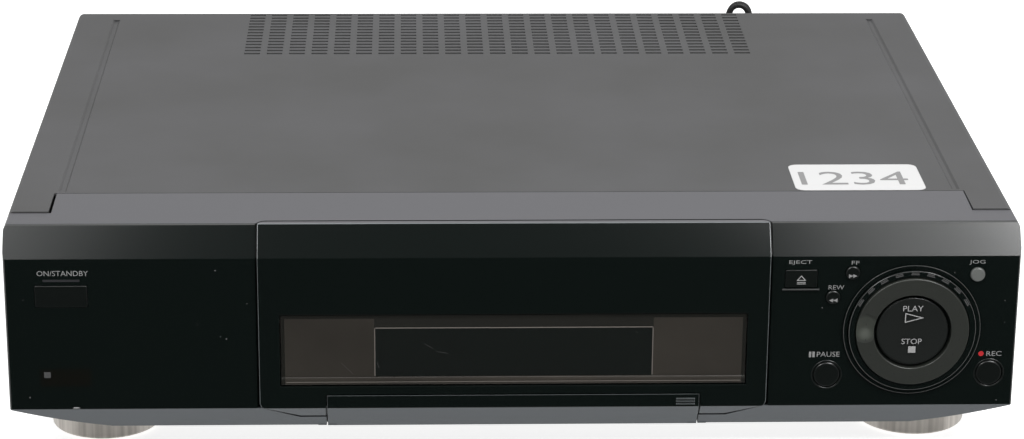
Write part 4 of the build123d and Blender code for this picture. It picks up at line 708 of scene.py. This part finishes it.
ROCKER_WORDS_X = (165.2, 173.9)
rocker_y = printed_on(ROCKER_PROUD)
play_marks = Marks("play_stop_marks", "play_stop_button", print_light, "foot_silver")
play_marks.legend("PLAY", ROCKER_WORDS_X, (44.2, 46.7), rocker_y)
play_marks.outline([(166.2, 38.9), (174.4, 41.2), (166.2, 43.5)], 0.45, rocker_y)
play_marks.legend("STOP", ROCKER_WORDS_X, (29.2, 31.7), rocker_y)
play_marks.bar((168.2, 171.4), (25.2, 28.2), rocker_y)
play_marks.place()

eject_y = printed_on(EJECT_PROUD)
eject_marks = Marks("eject_marks", "eject_button", print_light, "foot_silver")
eject_marks.outline([(119.5, 57.4), (123.7, 57.4), (121.6, 59.8)], 0.35, eject_y)
for bar_z in (55.8, 56.45):
    eject_marks.bar((119.7, 123.5), (bar_z, bar_z + 0.3), eject_y)
eject_marks.place()

# double arrows on the winding keys: the key's middle and the way they point
ARROW_LONG, ARROW_HALF, ARROW_DROP = 1.8, 0.9, 1.2
for name, x, z, toward in (("fast_forward", 143.4, 61.0, 1), ("rewind", 135.4, 50.0, -1)):
    arrows = Marks(name + "_marks", name + "_button", print_grey, "foot_silver")
    tip_z = z - ARROW_DROP
    for back in (ARROW_LONG, 0.0):
        base_x = x - toward * back
        arrow = [
            (base_x, tip_z - ARROW_HALF), (base_x + toward * ARROW_LONG, tip_z),
            (base_x, tip_z + ARROW_HALF),
        ]
        arrows.polygon(arrow, printed_on(ARROW_KEY_PROUD))
    arrows.place()

# pairs of short arcs on the shuttle ring: inner radius, width and half of the span in degrees
RING_ARCS = ((25.55, 0.5, 3.9), (26.25, 0.45, 3.4))
ring_marks = Marks("shuttle_marks", "shuttle_ring", print_dim, "foot_silver")
for count in range(-4, 5):
    middle = radians(90 - 15 * count)
    for inner, wide, half_span in RING_ARCS:
        half = radians(half_span)
        ring_marks.dial_arc(inner, wide, middle - half, middle + half, printed_on(RING_PROUD))
ring_marks.place()

# painted highlights: thin light lines round the bezel and the shuttle ring
LINE_STEPS, LINE_WIDE = 72, 0.22
for name, body, radius, proud in (
    ("bezel_highlight", "case", 29.15, BEZEL_PROUD), ("ring_highlight", "shuttle_ring", 26.95, RING_PROUD),
):
    edge_ring = Marks(name, body, scratch_and_highlight_grey, "smoked")
    for step in range(LINE_STEPS):
        start, end = 2 * pi * step / LINE_STEPS, 2 * pi * (step + 1) / LINE_STEPS
        edge_ring.dial_arc(radius, LINE_WIDE, start, end, printed_on(proud))
    edge_ring.place()

# double ticks round the jog dial
TICK_COUNT, TICK_RADIUS, TICK_APART = 18, 20.4, 0.012
TICK_HALF_WIDE, TICK_HALF_TALL = 0.12, 0.35
jog_marks = Marks("jog_marks", "jog_dial", tick_dark, "satin_black")
for count in range(TICK_COUNT):
    angle = 2 * pi * (count + 0.5) / TICK_COUNT
    for shift in (-TICK_APART, TICK_APART):
        x, z = on_dial(TICK_RADIUS, angle + shift)
        x_span = (x - TICK_HALF_WIDE, x + TICK_HALF_WIDE)
        z_span = (z - TICK_HALF_TALL, z + TICK_HALF_TALL)
        jog_marks.bar(x_span, z_span, printed_on(JOG_PROUD))
jog_marks.place()

# painted highlights: light lines along the top and the sides of the flap's window, and on the flap's
# lip
TOP_LINE, SIDE_LINE = 0.45, 0.4
window_y = printed_on(WINDOW_PROUD)
window_top = WINDOW_SPAN[1]
window_highlights = Marks("flap_window_highlights", "cassette_flap", window_highlight_grey, "smoked")
window_highlights.bar((-WINDOW_HALF, WINDOW_HALF), (window_top - TOP_LINE, window_top), window_y)
for low_x in (-WINDOW_HALF, WINDOW_HALF - SIDE_LINE):
    window_highlights.bar((low_x, low_x + SIDE_LINE), WINDOW_SPAN, window_y)
window_highlights.bar((-97.0, 97.0), (12.1, 12.4), printed_on(LIP_PROUD))
window_highlights.place()

# fine scratches on the window: both ends of each
SCRATCH_HALF = 0.06
SCRATCH_RUNS = (
    ((-38.0, 29.4), (-34.5, 27.2)), ((-73.5, 20.8), (-68.5, 15.6)),
    ((-58.2, 21.0), (-57.4, 18.4)), ((51.8, 34.6), (52.8, 33.9)),
    ((-33.0, 25.8), (-28.0, 25.0)),
)
scratches = Marks("window_scratches", "cassette_flap", scratch_and_highlight_grey, "smoked")
for start, end in SCRATCH_RUNS:
    run = (Vector(end) - Vector(start)).normalized() * SCRATCH_HALF
    aside = Vector((-run.y, run.x))
    corners = (Vector(start) + aside, Vector(start) - aside, Vector(end) - aside, Vector(end) + aside)
    scratches.polygon([tuple(corner) for corner in corners], window_y)
scratches.place()

# ---------------------------------------------------------------- inventory number
DIGITS_INSET = (3.3 * MM, 7.1 * MM)
DIGITS_SIZE = (47.7 * MM, 17.5 * MM)
label_low, label_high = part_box("number_label")
digits = Marks("label_digits", "case", ink_grey, "satin_black")
digits_x, digits_y = label_low[0] + DIGITS_INSET[0], label_low[1] + DIGITS_INSET[1]
digits_origin = Vector((digits_x, digits_y, label_high[2] + HAIR))
digits.words("1234", digits_origin, Vector((1, 0, 0)), Vector((0, 1, 0)), DIGITS_SIZE)
digits.place()

# ---------------------------------------------------------------- wear of the black face
# chipped paint at the lower left crease
chip = Marks("crease_chip", "case", print_light, "label_film")
chip.polygon([(-188.2, 0.4), (-186.4, 0.3), (-184.8, 0.5), (-185.8, 0.9), (-187.2, 1.0)], face_y)
chip.place()

# dust specks on the gloss black: X, height and radius
SPECKS = (
    (-126.0, 63.0, 0.3), (-134.0, 38.5, 0.2), (-122.0, 32.0, 0.3), (-124.5, 33.0, 0.2),
    (-207.0, 50.0, 0.2), (-206.0, 5.5, 0.3), (186.8, 60.8, 0.2), (209.0, 48.0, 0.2),
    (209.5, 38.0, 0.2), (208.0, 2.0, 0.25), (131.0, 45.0, 0.2), (-113.0, 48.0, 0.2),
)
specks = Marks("dust_specks", "case", speck, "label_film")
for x, z, radius in SPECKS:
    specks.disc(x, z, radius, face_y, sides=6)
specks.place()

# ---------------------------------------------------------------- rims and ledge on the front
RIM_WIDE, RIM_PROUD, RIM_FOOT = 0.7, 0.3, 0.2
RIM_SIDES = 48


def button_rim(name, x, z, inner):
    """A low rounded rim that stands on the black face round a button."""
    half = RIM_WIDE / 2
    profile = [(inner, RIM_FOOT)]
    for degrees in range(180, -1, -30):
        angle = radians(degrees)
        profile.append((inner + half + half * cos(angle), -RIM_PROUD * sin(angle)))
    profile.append((inner + RIM_WIDE, RIM_FOOT))
    work = bmesh.new()
    rows = []
    for step in range(RIM_SIDES):
        angle = 2 * pi * step / RIM_SIDES
        rows.append([
            work.verts.new(((x + r * cos(angle)) * MM, depth(y), high(z + r * sin(angle))))
            for r, y in profile
        ])
    for here, nearby in zip(rows, rows[1:] + rows[:1]):
        for k in range(len(profile)):
            after = (k + 1) % len(profile)
            work.faces.new((here[k], here[after], nearby[after], nearby[k]))
    rim = finished(work, name, button_black)
    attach(rim, "case")


button_rim("pause_rim", 134.1, 14.3, 5.95)
button_rim("record_rim", 204.0, 14.8, 5.9)

# finger ledge under the eject button
ledge = Marks("eject_ledge", "case", satin_black, "satin_black")
ledge.ribbon((113.6, 129.4), [(0.0, 53.7), (-0.55, 53.3), (-0.55, 52.9), (0.0, 52.7)])
ledge.place()

# ---------------------------------------------------------------- floor, light and surroundings
FLOOR_HALF = 6.0
FLOOR_DROP = 0.2 * MM
FLOOR_GLOW = 0.8
pale_floor = material("floor", grey(205), 0.7, specular=0.1)
glow = pale_floor.node_tree.nodes["Principled BSDF"]
glow.inputs["Emission Color"].default_value = (1.0, 1.0, 1.0, 1.0)
glow.inputs["Emission Strength"].default_value = FLOOR_GLOW
floor_corners = [(x * FLOOR_HALF, y * FLOOR_HALF, 0) for x, y in ((-1, -1), (1, -1), (1, 1), (-1, 1))]
floor_data = bpy.data.meshes.new("floor")
floor_data.from_pydata(floor_corners, [], [(0, 1, 2, 3)])
floor_data.materials.append(pale_floor)
floor = shown("floor", floor_data)
floor.location.z = -FLOOR_DROP
floor.visible_glossy = False

# the studio is pale behind, above and beside, and dim in front
SKY_STRENGTH = 0.58
world = bpy.data.worlds.new("surroundings")
world.use_nodes = True
sky = world.node_tree
way = parts_of(sky, coordinate(sky, "Generated"))
to_back = spread(sky, way["Y"], (-0.58, -0.15), (0.14, 1.0), smooth=True)
upward = spread(sky, way["Z"], (-0.12, 0.12), (0.08, 1.0), smooth=True)
sideways = spread(sky, way["Y"], (-0.6, -0.1), (0.0, 1.3), smooth=True)
brightness = worked(sky, "MULTIPLY", to_back, worked(sky, "MAXIMUM", upward, sideways))
sky.links.new(brightness, sky.nodes["Background"].inputs["Color"])
sky.nodes["Background"].inputs["Strength"].default_value = SKY_STRENGTH
bpy.context.scene.world = world

# each light: its place, what it faces, its width and height, and its power in watts
SOFTBOXES = {
    "overhead": ((0.0, 0.35, 1.9), (0, 0, 0), (2.4, 1.4), 1.0),
    "top_edge": ((0.0, -0.45, 1.9), (0, -0.1, 0.05), (2.2, 0.16), 5.5),
    "right_wide": ((0.80, -0.88, 1.30), (0, 0, 0.05), (1.1, 0.74), 6.0),
    "right_near": ((0.84, -0.86, 1.27), (0, 0, 0.05), (0.8, 0.70), 26.0),
    "left_wide": ((-0.80, -0.88, 1.30), (0, 0, 0.05), (1.1, 0.74), 3.5),
    "left_near": ((-0.84, -0.86, 1.27), (0, 0, 0.05), (0.9, 0.70), 14.0),
}
for name, (place, aim, size, power) in SOFTBOXES.items():
    light = bpy.data.lights.new(name, "AREA")
    light.shape = "RECTANGLE"
    light.size, light.size_y = size
    light.energy = power
    lamp = shown(name, light)
    lamp.location = place
    lamp.rotation_euler = (Vector(aim) - Vector(place)).to_track_quat("-Z", "Y").to_euler()
bpy.context.scene.view_settings.view_transform = "Standard"
